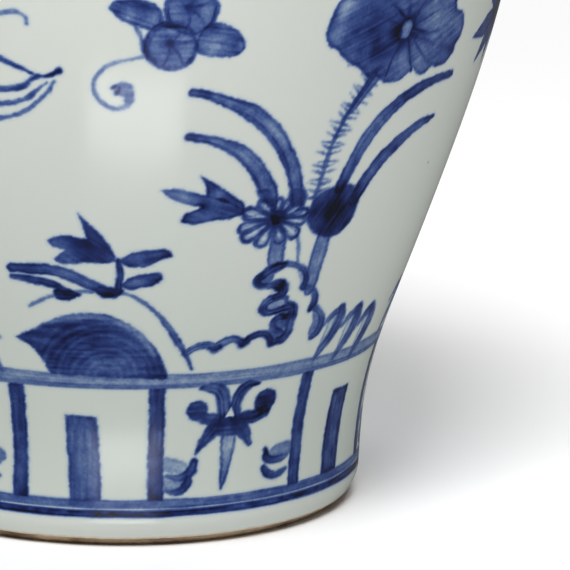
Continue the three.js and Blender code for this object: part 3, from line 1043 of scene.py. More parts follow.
@dataclass(frozen=True)
class LotusLeaf(Motif):
    """A lotus leaf seen from above: a scalloped round with veins that spread from its eye."""

    eye: Point = (-1, 6)
    veins: int = 13
    stem: bool = True

    OUTLINE = (
        (-31, 19), (-33.6, 12.6), (-34, 7), (-32, 3.8), (-28.6, 2.2), (-26, -0.4), (-22, -3.2),
        (-18, -5.2), (-15, -8.2), (-12.6, -9.6), (-10, -9.2), (-7, -10.8), (-3, -11.8), (1, -11.4),
        (5, -9), (6.4, -8), (9, -10.2), (13, -10.8), (16, -8.6), (20, -9.8), (25, -9.2),
        (28.2, -6.5), (29.6, -3), (31.8, -1), (32.4, 2.2), (31.2, 5.4), (29, 7.8), (25.2, 9.2), (24, 11.4),
        (24.6, 15.4), (21.6, 19), (17.4, 20), (14, 22.6), (9.6, 23), (6.6, 25.2), (1, 25.6), (-3, 24.2),
        (-7.6, 26.6), (-13.6, 25.8), (-16.6, 23.4), (-21.6, 24.4), (-27, 22.4),
    )
    FOLDS = (9, 15, 18, 23, 28, 33, 36, 39)

    def vein(self, index: int) -> Stroke:
        """One dark vein, which widens towards the eye.

        Args:
            index: Counts the veins round the leaf.

        Returns:
            The stroke.
        """
        angle = 2 * math.pi * (index + 0.24 * math.sin(4.3 * index)) / self.veins + 0.3
        across, up = math.cos(angle), math.sin(angle)
        reach = 11.6 + 12.0 * abs(across) ** 1.5 + 2.4 * math.sin(2.9 * index)
        bend = 2.6 * math.sin(1.9 * index)
        x, y = self.eye
        start = (x + 2.6 * across, y + 2.9 * up)
        middle = (x + 0.55 * reach * across - bend * up, y + 0.55 * reach * up + bend * across)
        stop = (x + reach * across, y + 0.92 * reach * up)
        wide = 1.5 + 0.9 * math.sin(2.3 * index)
        return Stroke((start, middle, stop), (3, wide, 0.9), (DEEP, BODY, PALE), rim=0.04, soft=0.9)

    def marks(self) -> list[Mark]:
        """The stem, the leaf's wash, its veins and its eye."""
        x, y = self.eye
        stem = [
            Stroke(((-9.4, -7), (-13, -12.6), (-17.6, -19.6)), (4.6, 2.8, 1.8), BODY, rim=0.1),
        ] if self.stem else []
        leaf = Patch(
            self.OUTLINE, self.FOLDS, BODY, rim=0.22, rim_width=1.2, streak=0.2, grain_angle=20,
            pools=(Pool(-17, 10, 10, 0.2), Pool(-12, -1, 6.5, 0.16), Pool(-28.4, 17, 3.4, -0.3),
                   Pool(-29.6, 8, 3, -0.1), Pool(15, 5.4, 6.5, -0.12), Pool(10, -2, 5, -0.08),
                   Pool(0.4, -5.4, 3.6, -0.18), Pool(10, 15, 8, -0.06), Pool(27, -4, 5, 0.16),
                   Pool(-5, 5, 3.6, 0.22), Pool(x, y, 5, 0.26)),
        )
        creases = [
            Stroke(((-1.8, 2.6), (-4.4, -2), (-6.4, -8.6)), (2.4, 1.6, 1.8), (DEEP, FULL, FULL), rim=0.04,
                   soft=0.8),
            Stroke(((0.8, 2.4), (3, -3), (5.6, -8.6)), (1.6, 1.4, 1.6), (DEEP, FULL, DEEP), rim=0.04,
                   soft=0.8),
            Stroke(((3.2, 4), (12, 0.4), (20, -2.6), (28, -5.4)), (1.6, 1.8, 1.6, 2.2),
                   (FULL, BODY, FULL), rim=0.04, soft=0.9),
            Stroke(((2.6, 2.6), (9, -3.4), (15.8, -8.6)), (1.2, 1.2, 1.6), (FULL, BODY), rim=0.04, soft=0.8),
            Stroke(((-2.6, 10), (-6.6, 13.4), (-12.6, 17.6)), (2, 1.8, 1.2), (DEEP, FULL), rim=0.04,
                   soft=0.9),
        ]
        round_eye = ((x - 2, y - 2.2), (x - 1.8, y + 2), (x + 0.8, y + 2.8), (x + 2, y + 0.4),
                     (x + 0.6, y - 2.4))
        eye = [
            Patch(round_eye, lift=1, soft=0.6),
            Patch(round_eye, tone=WASH, rim=0.2, rim_width=0.7),
            Stroke(((x - 2.4, y + 2.4), (x - 3.2, y - 0.4), (x - 2.4, y - 3.4)), (1.8, 2.6, 1.6), DEEP,
                   rim=0.1, soft=0.8),
            Stroke(((x - 0.8, y + 3.8), (x + 2.2, y + 3.6), (x + 3.2, y + 1)), (1.8, 2.2, 1.2), DEEP, rim=0.1,
                   soft=0.8),
        ]
        return [*stem, leaf, *[self.vein(i) for i in range(self.veins)], *creases, *eye]


@dataclass(frozen=True)
class RoundBlossom(Motif):
    """A round blossom with a dark rim, its petals parted by dark lines from one side."""

    radius: float = 7.6
    lines: int = 4

    def marks(self) -> list[Mark]:
        """The wash, the rim and the lines between the petals."""
        r = self.radius
        ring = tuple(
            (r * (1.0 + 0.05 * math.sin(3 * a + 0.6)) * math.cos(a), r * math.sin(a))
            for a in np.linspace(0, 2 * math.pi, 9)[:-1]
        )
        fans = []
        for i in range(self.lines):
            a = math.radians(-112 + 190 * i / (self.lines - 1) - 10 * (i % 2))
            x, y = r * math.cos(a), r * math.sin(a)
            fans.append(Stroke(((-0.1 * r, 0.15 * r), (0.45 * x + 0.4, 0.45 * y + 0.3), (0.92 * x, 0.92 * y)),
                               (1.8, 1.2, 1.3), (FULL, FULL, BODY), rim=0.04, soft=0.8))
        wash = Patch(ring, tone=WASH, rim=0.1, rim_width=1.8, streak=0.3,
                     pools=(Pool(-0.1 * r, 0.2 * r, 0.4 * r, 0.3), Pool(-0.5 * r, -0.3 * r, 0.3 * r, 0.1)))
        edge = Stroke(ring + ring[:1], (1.4, 2.2, 1.2, 1.8), (FULL, FULL, BODY, FULL), rim=0.04,
                      streak=0.4, soft=0.8)
        return [wash, edge, *fans]


@dataclass(frozen=True)
class Sprig(Motif):
    """Two round blossoms between broad leaves, and a tendril that curls up to a dark bud."""

    tendril: bool = True

    def shifted(self, motif: Motif, dx: float, dy: float, turned: float) -> list[Mark]:
        """Another motif's marks, set at a place of this one.

        Args:
            motif: What to take the marks from.
            dx: How far right its origin goes.
            dy: How far up.
            turned: How far it is turned there, in degrees.

        Returns:
            The marks in this motif's own millimetres.
        """
        spot = Spot(0, 0, turned=turned)

        def move(points: Points) -> Points:
            """Turns and shifts a list of points."""
            there = spot.to_wall(np.array(points)) + (dx, dy)
            return tuple((float(x), float(y)) for x, y in there)

        made: list[Mark] = []
        for mark in motif.marks():
            if isinstance(mark, Stroke):
                made.append(replace(mark, points=move(mark.points)))
            else:
                pools = tuple(Pool(*move(((p.x, p.y),))[0], p.radius, p.gain) for p in mark.pools)
                made.append(replace(mark, outline=move(mark.outline), pools=pools))
        return made

    def marks(self) -> list[Mark]:
        """The leaves, the blossoms over them, the dark knot and the tendril."""
        leaves = [
            Patch(((0.6, 14.4), (-2, 19.6), (-6, 21.6), (-11, 21.6), (-15.4, 20.8), (-16.6, 19.2),
                   (-14.6, 16.6), (-11, 14.2), (-6, 12.4), (-2, 11.8)), (0, 5), BODY,
                  rim=0.16, streak=0.3, grain_angle=-20,
                  pools=(Pool(-14, 19, 2.4, 0.2), Pool(-6.6, 18.6, 3.6, 0.2), Pool(-10.4, 16.4, 2.2, -0.16),
                         Pool(-3.6, 14.6, 2.2, -0.14))),
            Patch(((9.4, 6), (11.2, 10.4), (15, 13.8), (19, 13.4), (23, 11.2), (25.6, 8), (25.8, 5),
                   (23.4, 3.1), (18, 2.7), (12.4, 3.6)), (0,), BODY, rim=0.16, streak=0.3, grain_angle=-10,
                  pools=(Pool(22.8, 6.6, 3, 0.2), Pool(16.6, 12.4, 2.6, 0.2), Pool(15.4, 6.6, 3, -0.24),
                         Pool(24.6, 6, 1.2, -0.24))),
        ]
        stalks = [Stroke(((-8.2, 13), (-6.6, 9.4), (-5.4, 5.8)), (1.5, 1.1, 1.6), WASH, rim=0.1)]
        blossoms = self.shifted(RoundBlossom(7.8), 8.6, 18.2, 8) + self.shifted(RoundBlossom(7.7), 3, 6.5, 0)
        knot = [
            Stroke(((-1.2, 15.8), (-0.6, 13.6), (1.4, 13.4), (4.6, 13.2), (7.2, 12.6)),
                   (1.4, 1.8, 2.4, 2.2, 1.4), DEEP, rim=0.04, soft=0.8),
            Stroke(((-5.2, 8), (-4.9, 5.2), (-4, 3), (-1.6, 1.2)), (1.6, 2.6, 2.2, 1.2), DEEP, rim=0.04,
                   soft=0.8),
        ]
        tendril = [
            Stroke(((-4.4, 3.8), (-9, 2.2), (-14, 0.9), (-18, -1.6), (-20.3, -5.2), (-20, -9.4), (-17, -13),
                    (-13, -14.6), (-10.4, -13.6), (-9, -11)),
                   (1.8, 1.5, 1.2, 1.1, 1, 1.1, 1.3, 1.5, 1.8, 2.6), (PALE, PALE, WASH, WASH, PALE), rim=0.1),
            Patch(((-13.4, -6), (-10.6, -5.4), (-8.4, -7.2), (-7.9, -10), (-8.8, -13), (-10.6, -12.4),
                   (-11, -10.4), (-14.2, -9.4)), tone=WASH, rim=0.06, soft=0.8),
            Stroke(((-14.3, -7.4), (-13.7, -6.9)), (1.2, 1.2), DEEP, rim=0.1),
            Stroke(((-13.3, -9.2), (-12.6, -8.2), (-12.6, -7.4)), (1.4, 1.2, 0.9), DEEP, rim=0.1),
        ] if self.tendril else []
        return [*leaves, *stalks, *blossoms, *knot, *tendril]


@dataclass(frozen=True)
class FeatherLeaf(Motif):
    """A long leaf drawn in outline, with veins that run to its tip. Its origin is the tip."""

    long: float = 46.0

    def marks(self) -> list[Mark]:
        """The two edges, the veins between them and the curl over it."""
        back = -self.long
        edges = [
            Stroke(((0.2, 0.7), (-1.6, -0.3), (-4, -1.2), (-7, -1), (-10, 0.3), (0.45 * back, 4.4),
                    (0.7 * back, 5.4), (back, 3)),
                   (1.8, 1.2, 1.4, 1.8, 2, 2.4, 2, 1.4), (DEEP, BODY, BODY), rim=0.1),
            Stroke(((-1.4, -2.8), (-3.2, -6.2), (-6.4, -9.8), (-10.4, -13.2), (0.5 * back, -17),
                    (0.8 * back, -13), (back, 3)),
                   (0.8, 1.3, 1.6, 2, 1.9, 1.6, 1.4), (WASH, BODY, WASH), rim=0.12),
        ]
        veins = [
            Stroke(((-6.6, -1.5), (-8.4, -2.6), (-10.6, -4.6), (0.45 * back, -6.6), (0.75 * back, -4)),
                   (1.4, 2, 1.8, 1.4, 0.7), (FULL, BODY, PALE), rim=0.1),
            Stroke(((-3.6, -3.4), (-6, -5.4), (-10.2, -9.2), (0.5 * back, -11.6), (0.75 * back, -8.6)),
                   (0.8, 1.5, 1.7, 1.4, 0.7), (BODY, BODY, PALE), rim=0.1),
        ]
        curl = Stroke(((0.8 * back, 6), (0.62 * back, 14), (0.4 * back, 18.4), (0.26 * back, 19.2),
                       (-9.6, 17.4), (-9.4, 15.8)), (1, 1.2, 1.2, 1.4, 1.6, 1), WASH, rim=0.1)
        return [*edges, *veins, curl]


@dataclass(frozen=True)
class NightBlossom(Motif):
    """A dark flower of pointed petals, painted almost solid."""

    def marks(self) -> list[Mark]:
        """The petals and their meeting place."""
        made: list[Mark] = []
        for angle, reach, width in ((196, 24, 8), (232, 21, 8), (268, 19, 7.5), (310, 20, 8),
                                    (352, 24, 8), (40, 19, 7.5), (88, 21, 8.5), (140, 20, 7.5)):
            a = math.radians(angle)
            x, y = math.cos(a), math.sin(a)
            made.append(Stroke(((2.0 * x, 2.0 * y), (0.55 * reach * x - 1.0 * y, 0.55 * reach * y + 1.0 * x),
                                (reach * x, reach * y)), (0.7 * width, width, 0.6), (DEEP, FULL, FULL)))
        return [*made, Patch(((-4, 0), (0, 4), (4, 0), (0, -4)), tone=DEEP)]


@dataclass(frozen=True)
class LotusFlower(Motif):
    """An open lotus: pointed petals in two rows round a pod, on its own stem."""

    stem: Points = ((0, -4), (1.4, -14), (-0.6, -26))
    blush: float = 0.4  # how much darker the petals get towards their tips

    def petal(self, lean: float, reach: float, width: float) -> list[Mark]:
        """One petal: pale inside, with a drawn edge and a darker tip.

        Args:
            lean: Degrees that it leans to the right of upright.
            reach: Its length.
            width: Its width.

        Returns:
            Its marks.
        """
        a = math.radians(90.0 - lean)
        out, side = (math.cos(a), math.sin(a)), (math.sin(a), -math.cos(a))

        def at(along: float, across: float) -> Point:
            """A point of the petal, along it and across it."""
            return (along * reach * out[0] + across * width / 2 * side[0],
                    along * reach * out[1] + across * width / 2 * side[1])

        left = (at(0.08, -0.4), at(0.4, -1), at(0.78, -0.7))
        shape = left + (at(1, 0), at(0.78, 0.7), at(0.4, 1), at(0.08, 0.4))
        tip = at(0.86, 0)
        return [
            Patch(shape, (3,), lift=1),
            Patch(shape, (3,), MIST, rim=0.1, pools=(Pool(tip[0], tip[1], 0.24 * reach, self.blush),),
                  grain_angle=90.0 - lean),
            Stroke(shape, (1, 1.4, 1), (BODY, FULL, BODY), rim=0.08),
            Stroke((at(0.3, 0), at(0.85, 0.05)), (0.7, 1), WASH, rim=0.04),
        ]

    def marks(self) -> list[Mark]:
        """The stem, the back petals, the front petals and the pod."""
        made: list[Mark] = [Stroke(self.stem, (2.2, 1.9, 2.2), (BODY, WASH, BODY), rim=0.2)]
        for lean, reach, width in ((-58, 22, 9), (58, 22, 9), (-34, 26, 10), (34, 26, 10),
                                   (-13, 28, 10), (13, 28, 10)):
            made += self.petal(lean, reach, width)
        made += [
            Patch(((-5.4, 9), (0, 11), (5.4, 9), (3.4, 2), (-3.4, 2)), (0, 2), FULL, rim=0.16),
            *self.petal(-84, 18, 8), *self.petal(84, 18, 8),
            *self.petal(-28, 16, 9), *self.petal(28, 16, 9), *self.petal(0, 14, 9),
        ]
        return made


@dataclass(frozen=True)
class Cloud(Motif):
    """A drifting cloud: curled heads over streaming tails."""

    HEADS = ((-8, 2, 5.6), (1.6, 4.4, 6.8), (11.4, 1.4, 5))  # each one's middle and size

    def head(self, x: float, y: float, size: float) -> list[Mark]:
        """One curled head, washed pale.

        Args:
            x: How far right its middle is.
            y: How far up.
            size: Its radius.

        Returns:
            Its wash and its curl.
        """
        curl = ((-1, -0.5), (-1, 0.4), (-0.2, 1), (0.7, 0.7), (0.95, -0.1), (0.4, -0.65), (-0.3, -0.4),
                (-0.3, 0.2), (0.15, 0.25))
        points = tuple((x + size * px, y + size * py) for px, py in curl)
        return [
            Patch(points[:6], tone=MIST, rim=0.04),
            Stroke(points, (1.4, 2, 2.2, 2, 1.7, 1.5, 1.3, 1.3, 2), (BODY, FULL, BODY), rim=0.1),
        ]

    def marks(self) -> list[Mark]:
        """The tails, then the heads over them."""
        made: list[Mark] = [
            Stroke(((15.6, -3.6), (4, -4.6), (-10, -3.8), (-22, -6.4), (-33, -4)), (1.2, 2.4, 2.2, 1.6, 0.8),
                   (BODY, FULL, WASH), rim=0.1),
            Stroke(((9, -6.8), (-1, -8.4), (-12, -7.6), (-24, -10.6)), (1, 1.8, 1.6, 0.7),
                   (BODY, BODY, PALE), rim=0.1),
        ]
        for x, y, size in self.HEADS:
            made += self.head(x, y, size)
        return made


@dataclass(frozen=True)
class Butterfly(Motif):
    """A butterfly with spread wings, washed and edged."""

    def wing(self, shape: Points, eye: Point) -> list[Mark]:
        """One wing.

        Args:
            shape: Its outline, from the body.
            eye: Where its dark spot is.

        Returns:
            Its wash, its edge and its spot.
        """
        return [
            Patch(shape, (0,), PALE, rim=0.12, pools=(Pool(eye[0], eye[1], 5, 0.16),)),
            Stroke(shape + shape[:1], (1.2, 1.8, 1.2), FULL, rim=0.06),
            Stroke((shape[0], (0.5 * eye[0], 0.5 * eye[1]), eye), (0.8, 1, 3.2), (BODY, DEEP), rim=0.06),
        ]

    def marks(self) -> list[Mark]:
        """The wings, the body and the feelers."""
        made: list[Mark] = []
        for side in (-1, 1):
            fore = ((0, 1), (7.0 * side, 10), (16.0 * side, 16), (21.0 * side, 12), (16.0 * side, 4.6),
                    (7.0 * side, 1))
            hind = ((0, -1), (8.0 * side, -0.6), (15.0 * side, -4.6), (13.0 * side, -12), (6.0 * side, -11))
            made += [*self.wing(fore, (13.0 * side, 9.6)), *self.wing(hind, (9.6 * side, -6.8))]
            made.append(Stroke(((0.4 * side, 6), (2.4 * side, 12), (6.4 * side, 15.6)), (0.9, 0.8, 1.6), FULL,
                               rim=0.04))
        return [*made, Stroke(((0, 6.6), (0.3, 0), (0, -9)), (1.8, 3, 1.2), DEEP, rim=0.1)]


@dataclass(frozen=True)
class CloudLappet(Motif):
    """A cloud-shaped lappet over the shoulder, with leaves left white on blue. Its origin is its point."""

    tall: float = 54.0
    half: float = 37.0
    edge: float = 3.4

    def outline(self, inset: float) -> Points:
        """Half a cloud collar, mirrored, drawn in by an inset.

        Args:
            inset: Millimetres inside the outer edge.

        Returns:
            The outline's points, from one root round the tip to the other.
        """
        h, t = self.half - inset, self.tall - inset
        side = ((0.62 * h, t), (0.6 * h, 0.86 * t), (0.86 * h, 0.8 * t), (h, 0.62 * t), (0.86 * h, 0.44 * t),
                (0.6 * h, 0.45 * t), (0.6 * h, 0.31 * t), (0.4 * h, 0.18 * t), (0.14 * h, 0.11 * t),
                (0, inset * 1.6))
        return side + tuple((-x, y) for x, y in side[-2::-1])

    def leaf(self, side: float) -> list[Mark]:
        """A leaf left white in a side lobe.

        Args:
            side: 1 for the right lobe and -1 for the left.

        Returns:
            What is wiped out of the ground, and the lines on it.
        """
        edge = ((14, 0.52), (20, 0.5), (27, 0.54), (30, 0.64), (25, 0.7), (18, 0.66))
        shape = tuple((x * side, y * self.tall) for x, y in edge)
        middle, tip = (22 * side, 0.58 * self.tall), (28 * side, 0.63 * self.tall)
        return [
            Patch(shape, (0, 3), lift=1),
            Stroke((shape[0], middle, tip), (1.4, 1.2, 0.7), BODY, rim=0.06),
            Stroke(shape + shape[:1], (1, 1.3, 1), BODY, rim=0.06),
        ]

    def marks(self) -> list[Mark]:
        """The blue ground with its leaves, and the double edge."""
        ground = Patch(self.outline(self.edge), (9,), BODY, rim=0.16, rim_width=1.4, streak=0.34,
                       grain_angle=70, pools=(Pool(0, 9, 8, 0.14), Pool(0, 0.9 * self.tall, 9, 0.12)))
        edge = Stroke(self.outline(0), (2.2, 2.6, 2.2), FULL, rim=0.14)
        return [ground, *self.leaf(1), *self.leaf(-1), edge]


@dataclass(frozen=True)
class StiffLeaf(Motif):
    """An upright pointed leaf of the band round the neck. Its origin is the middle of its foot."""

    tall: float = 26.0
    wide: float = 19.0

    def marks(self) -> list[Mark]:
        """The edge, the inner leaf, the midrib and its side veins."""
        h, w = self.tall, self.wide / 2
        inner = ((-0.66 * w, 0.4), (-0.5 * w, 0.42 * h), (0, 0.84 * h), (0.5 * w, 0.42 * h), (0.66 * w, 0.4))
        edges = [((x, 0), (0.86 * x, 0.4 * h), (0.4 * x, 0.8 * h), (0, h)) for x in (-w, w)]
        made: list[Mark] = [Stroke(edge, (1.7, 1.7, 1.3), FULL) for edge in edges]
        made += [Patch(inner, (0, 2, 4), WASH), Stroke(((0, 0), (0, 0.78 * h)), (2.2, 1.2), FULL, rim=0.1)]
        for i in range(4):
            y = (0.1 + 0.16 * i) * h
            for sign in (-1, 1):
                side = ((0, y), (sign * (0.5 - 0.08 * i) * w, y + 0.13 * h))
                made.append(Stroke(side, (1.1, 0.7), FULL, rim=0.04))
        return made


@dataclass(frozen=True)
class Garden:
    """Everything that is painted on the vase, and where."""

    lower_lines: tuple[Line, ...] = (
        Line(13.65, 2.4, DEEP, wander=0.12), Line(16.8, 3, BODY, wander=0.2),
        Line(59.6, 5, THIN, wander=0.2), Line(57.7, 1.8, WASH, wander=0.2),
        Line(61.4, 1.6, PALE, wander=0.25),
    )
    upper_lines: tuple[Line, ...] = (
        Line(283, 1.5, WASH), Line(287, 2.4, BODY), Line(352.6, 2.4, FULL),
        Line(356, 1.2, WASH), Line(387.6, 1.2, WASH), Line(391.2, 2.2, BODY),
        Line(403.6, 2.6, FULL),
    )
    border_height: float = 33.0
    border_start: float = 76.5
    border_end: float = 339.3
    pendant_panel: float = 39.8
    bar_panel: float = 34.6
    lotus_angles: tuple[int, ...] = (26, 118, 206, 296)
    leaf_angles: tuple[int, ...] = (72, 162, 251, 342)
    between_angles: tuple[int, ...] = (49, 95, 140, 184, 228, 273, 319, 4)
    butterfly_walk: float = 262.0
    lappets: int = 6
    stiff_leaves: int = 16
    # walks of the lappets' points, of the flowers in them, of the sprigs between them and of the stiff leaves
    collar_walks: tuple[float, ...] = (293.0, 311.0, 306.0, 358.0)

    def border(self) -> list[tuple[Motif, Spot]]:
        """The border round the foot: panels with a hanging flower and panels with a plain bar, in turn."""
        z = self.border_height
        placed: list[tuple[Motif, Spot]] = [
            (Divider(lean=0.2), Spot(-20.7, z)), (Divider(lean=-0.5), Spot(9.3, z)),
            (Divider(lean=-0.2), Spot(45, z)), (BorderBar(lean=1.5), Spot(-5.9, z)),
            (Pendant(), Spot(28, z)), (BorderBar(lean=-0.9, tone=FULL), Spot(58.7, z)),
        ]
        angle, panel = self.border_start, 0
        while angle < self.border_end - 1.0:
            hanging = panel % 2 == 0
            width = self.pendant_panel if hanging else self.bar_panel
            placed.append((Divider(lean=0.4 * math.sin(2.0 * panel + 1)), Spot(angle % FULL_TURN, z)))
            inside: Motif = Pendant() if hanging else BorderBar(lean=1.2 * math.sin(1.3 * panel))
            placed.append((inside, Spot((angle + width / 2) % FULL_TURN, z)))
            angle += width
            panel += 1
        return placed

    def group(self, angle: float, mirrored: bool) -> list[tuple[Motif, Spot]]:
        """A rock with everything that grows round it.

        Args:
            angle: Where the rock stands.
            mirrored: Whether the group faces the other way.

        Returns:
            Each motif with its spot.
        """
        way = -1.0 if mirrored else 1.0

        def spot(away: float, height: float) -> Spot:
            """A spot as far to the rock's right as given, or to its left in a mirrored group."""
            return Spot((angle + way * away) % FULL_TURN, height, mirrored)

        return [
            (GardenRock(), spot(0, 70)), (Tuft(), spot(18, 66)), (LongBlades(), spot(-10, 115)),
            (ArrowLeaf(), spot(-10, 115)), (Aster(), spot(-6.6, 111.6)), (BudSpray(), spot(6, 112)),
            (LotusLeaf(), spot(12, 165)),
        ]

    def garden(self) -> list[tuple[Motif, Spot]]:
        """The garden that goes round the body above the border."""
        placed: list[tuple[Motif, Spot]] = []
        for angle, flip in ((0, False), (104, True), (224, False), (306, True)):
            placed += [(Hill(), Spot(angle, 58, flip)), (ArrowSpray(), Spot(angle, 99, flip))]
        placed += self.group(34, False) + self.group(160, True) + self.group(262, False)
        placed += [
            (Sprig(), Spot(6, 165)), (FeatherLeaf(), Spot(-8.6, 162)), (NightBlossom(), Spot(77, 168)),
            (FeatherLeaf(), Spot(116, 160, True)), (Sprig(), Spot(188, 165, True)),
            (NightBlossom(), Spot(214, 166)), (Sprig(), Spot(238, 160)), (NightBlossom(), Spot(302, 160)),
            (Tuft(4), Spot(80, 66)), (Tuft(4), Spot(196, 66)), (Tuft(3), Spot(330, 66, True)),
            (Butterfly(), Spot(92, 124, turned=18, size=0.8)),
            (Butterfly(), Spot(325, 126, turned=-22, size=0.8)),
        ]
        return placed

    def belly(self) -> list[tuple[Motif, Spot]]:
        """The lotus that stands over the garden, up to the shoulder."""
        top = float(VASE.place(np.array([self.butterfly_walk]))[0, 1])
        placed: list[tuple[Motif, Spot]] = []
        for i, angle in enumerate(self.lotus_angles):
            placed.append((LotusFlower(), Spot(angle, 228, mirrored=i % 2 == 1, size=1.5)))
        for i, angle in enumerate(self.leaf_angles):
            placed.append((LotusLeaf(), Spot(angle, 232, mirrored=i % 2 == 0, size=1.18)))
        for i, angle in enumerate(self.between_angles):
            low: Motif = Sprig() if i % 2 else Cloud()
            placed.append((low, Spot(angle, 206 if i % 2 else 212, mirrored=i % 4 > 1, size=0.9)))
            placed.append((Butterfly(), Spot(angle, top, turned=24 * math.sin(2.2 * i), size=0.56)))
        return placed

    def collar(self) -> list[tuple[Motif, Spot]]:
        """The lappets over the shoulder and the stiff leaves round the neck."""
        point, heart, between, foot = (float(z) for z in VASE.place(np.array(self.collar_walks))[:, 1])
        flower = LotusFlower(((0, -2), (0.4, -6), (0, -9)), -0.1)
        placed: list[tuple[Motif, Spot]] = []
        for i in range(self.lappets):
            angle, next_gap = FULL_TURN * i / self.lappets, FULL_TURN * (i + 0.5) / self.lappets
            placed += [(CloudLappet(), Spot(angle, point)), (flower, Spot(angle, heart, size=0.96)),
                       (Sprig(tendril=False), Spot(next_gap, between, size=0.72))]
        for i in range(self.stiff_leaves):
            placed.append((StiffLeaf(), Spot(FULL_TURN * i / self.stiff_leaves, foot)))
        return placed

    @cached_property
    def placed(self) -> list[tuple[Motif, Spot]]:
        """Each motif on the vase with its spot, in the order of painting."""
        return [*self.border(), *self.garden(), *self.belly(), *self.collar()]

    def paint(self, canvas: Canvas) -> None:
        """Paints what of the garden falls on a stretch of wall.

        Args:
            canvas: The stretch.
        """
        for motif, spot in self.placed:
            for mark in motif.marks():
                canvas.paint(mark, spot)
        for line in self.lower_lines + self.upper_lines:
            canvas.draw_line(line)


GARDEN = Garden()


@dataclass(frozen=True)
class Pane:
    """A stretch of a piece's profile as it lies on the piece's map."""

    start: int
    stop: int  # the row after its last one, which is the first again where the profile closes
    strips: int  # how many lengths round the vase it is cut into, one above another
    share: float  # how much of the map's height it takes


@dataclass(frozen=True)
class Turning:
    """A turned piece: rings of points that go up its outside and back down its inside."""

    name: str
    profile: np.ndarray  # rows of radius and height
    angles: np.ndarray  # of the columns, in degrees
    corners: tuple[int, ...] = ()  # rows at which the surface turns sharply
    panes: tuple[Pane, ...] = ()
    closed: bool = True  # otherwise both ends are capped at the axis
    cobalt: np.ndarray = field(default_factory=lambda: np.zeros((0, 0)))  # for the first rows

    MAP_MARGIN = 0.003

    @property
    def rows(self) -> int:
        """How many rings of points it has."""
        return len(self.profile)

    @property
    def columns(self) -> int:
        """How many points a ring has."""
        return len(self.angles)

    def points(self) -> np.ndarray:
        """The points in metres, ring by ring."""
        a = np.radians(self.angles)
        radius, height = self.profile[:, :1], self.profile[:, 1:]
        x, y, z = radius * np.sin(a), -radius * np.cos(a), height + 0 * a
        return np.stack([x, y, z], axis=-1).reshape(-1, 3) * METRE

    def corners_of_faces(self) -> np.ndarray:
        """The four points of each face, ring by ring."""
        low = np.arange(self.rows if self.closed else self.rows - 1)[:, None]
        column = np.arange(self.columns)[None, :]
        high, after = (low + 1) % self.rows, (column + 1) % self.columns
        four = [low * self.columns + column, low * self.columns + after,
                high * self.columns + after, high * self.columns + column]
        return np.stack(four, axis=-1).reshape(-1, 4)

    def map_places(self) -> np.ndarray:
        """Where the corners of each face lie on the map, in strips round the piece, one above another."""
        turned = self.angles - self.angles[0]
        after = np.append(turned[1:], FULL_TURN)
        ring = np.concatenate([self.profile, self.profile[:1]])
        climbed = lengths_along(ring)
        places = np.zeros((len(ring) - 1, self.columns, 4, 2))
        base = 0.0
        for pane in self.panes:
            height = pane.share / pane.strips
            stretch = climbed[pane.start:pane.stop + 1] - climbed[pane.start]
            up = stretch / stretch[-1] * (height - 2 * self.MAP_MARGIN) + self.MAP_MARGIN
            cuts = np.searchsorted(turned, np.linspace(0, FULL_TURN, pane.strips + 1)[:-1] - 1e-6)
            for strip, (first, last) in enumerate(zip(cuts, [*cuts[1:], self.columns])):
                span = (after[last - 1] - turned[first]) / (1 - 2 * self.MAP_MARGIN)
                left = (turned[first:last] - turned[first]) / span + self.MAP_MARGIN
                right = (after[first:last] - turned[first]) / span + self.MAP_MARGIN
                block = places[pane.start:pane.stop, first:last]
                block[..., 0, 0] = block[..., 3, 0] = left
                block[..., 1, 0] = block[..., 2, 0] = right
                block[..., 0, 1] = block[..., 1, 1] = (base + strip * height + up[:-1])[:, None]
                block[..., 2, 1] = block[..., 3, 1] = (base + strip * height + up[1:])[:, None]
            base += pane.share
        return places.reshape(-1, 2)

    def mesh(self) -> bpy.types.Mesh:
        """Builds the mesh with its smooth and sharp edges, its cobalt and its map."""
        mesh = bpy.data.meshes.new(self.name)
        points, quads = self.points(), self.corners_of_faces()
        loops, starts = quads.ravel(), np.arange(len(quads)) * 4
        if not self.closed:
            ring = np.arange(self.columns)
            caps = [ring[::-1], ring + (self.rows - 1) * self.columns]
            starts = np.append(starts, [len(loops), len(loops) + self.columns])
            loops = np.concatenate([loops, *caps])
        mesh.vertices.add(len(points))
        mesh.vertices.foreach_set("co", points.ravel())
        mesh.loops.add(len(loops))
        mesh.loops.foreach_set("vertex_index", loops.astype(np.int32))
        mesh.polygons.add(len(starts))
        mesh.polygons.foreach_set("loop_start", starts.astype(np.int32))
        mesh.polygons.foreach_set("use_smooth", np.ones(len(starts), bool))
        if self.panes:
            layer = mesh.uv_layers.new(name="OFBake")
            layer.data.foreach_set("uv", self.map_places().ravel())
        mesh.update(calc_edges=True)
        ends = np.zeros(len(mesh.edges) * 2, np.int32)
        mesh.edges.foreach_get("vertices", ends)
        first, second = (ends.reshape(-1, 2) // self.columns).T
        sharp = mesh.attributes.new("sharp_edge", "BOOLEAN", "EDGE")
        corners = [c % self.rows for c in self.corners]
        sharp.data.foreach_set("value", (first == second) & np.isin(first, corners))
        amount = np.zeros(len(points), np.float32)
        amount[:self.cobalt.size] = self.cobalt.ravel()
        cobalt = mesh.attributes.new("cobalt", "FLOAT", "POINT")
        cobalt.data.foreach_set("value", amount)
        mesh.validate()
        return mesh


def even_columns(count: int) -> np.ndarray:
    """Angles of columns spread evenly all round."""
    return np.arange(count) * FULL_TURN / count


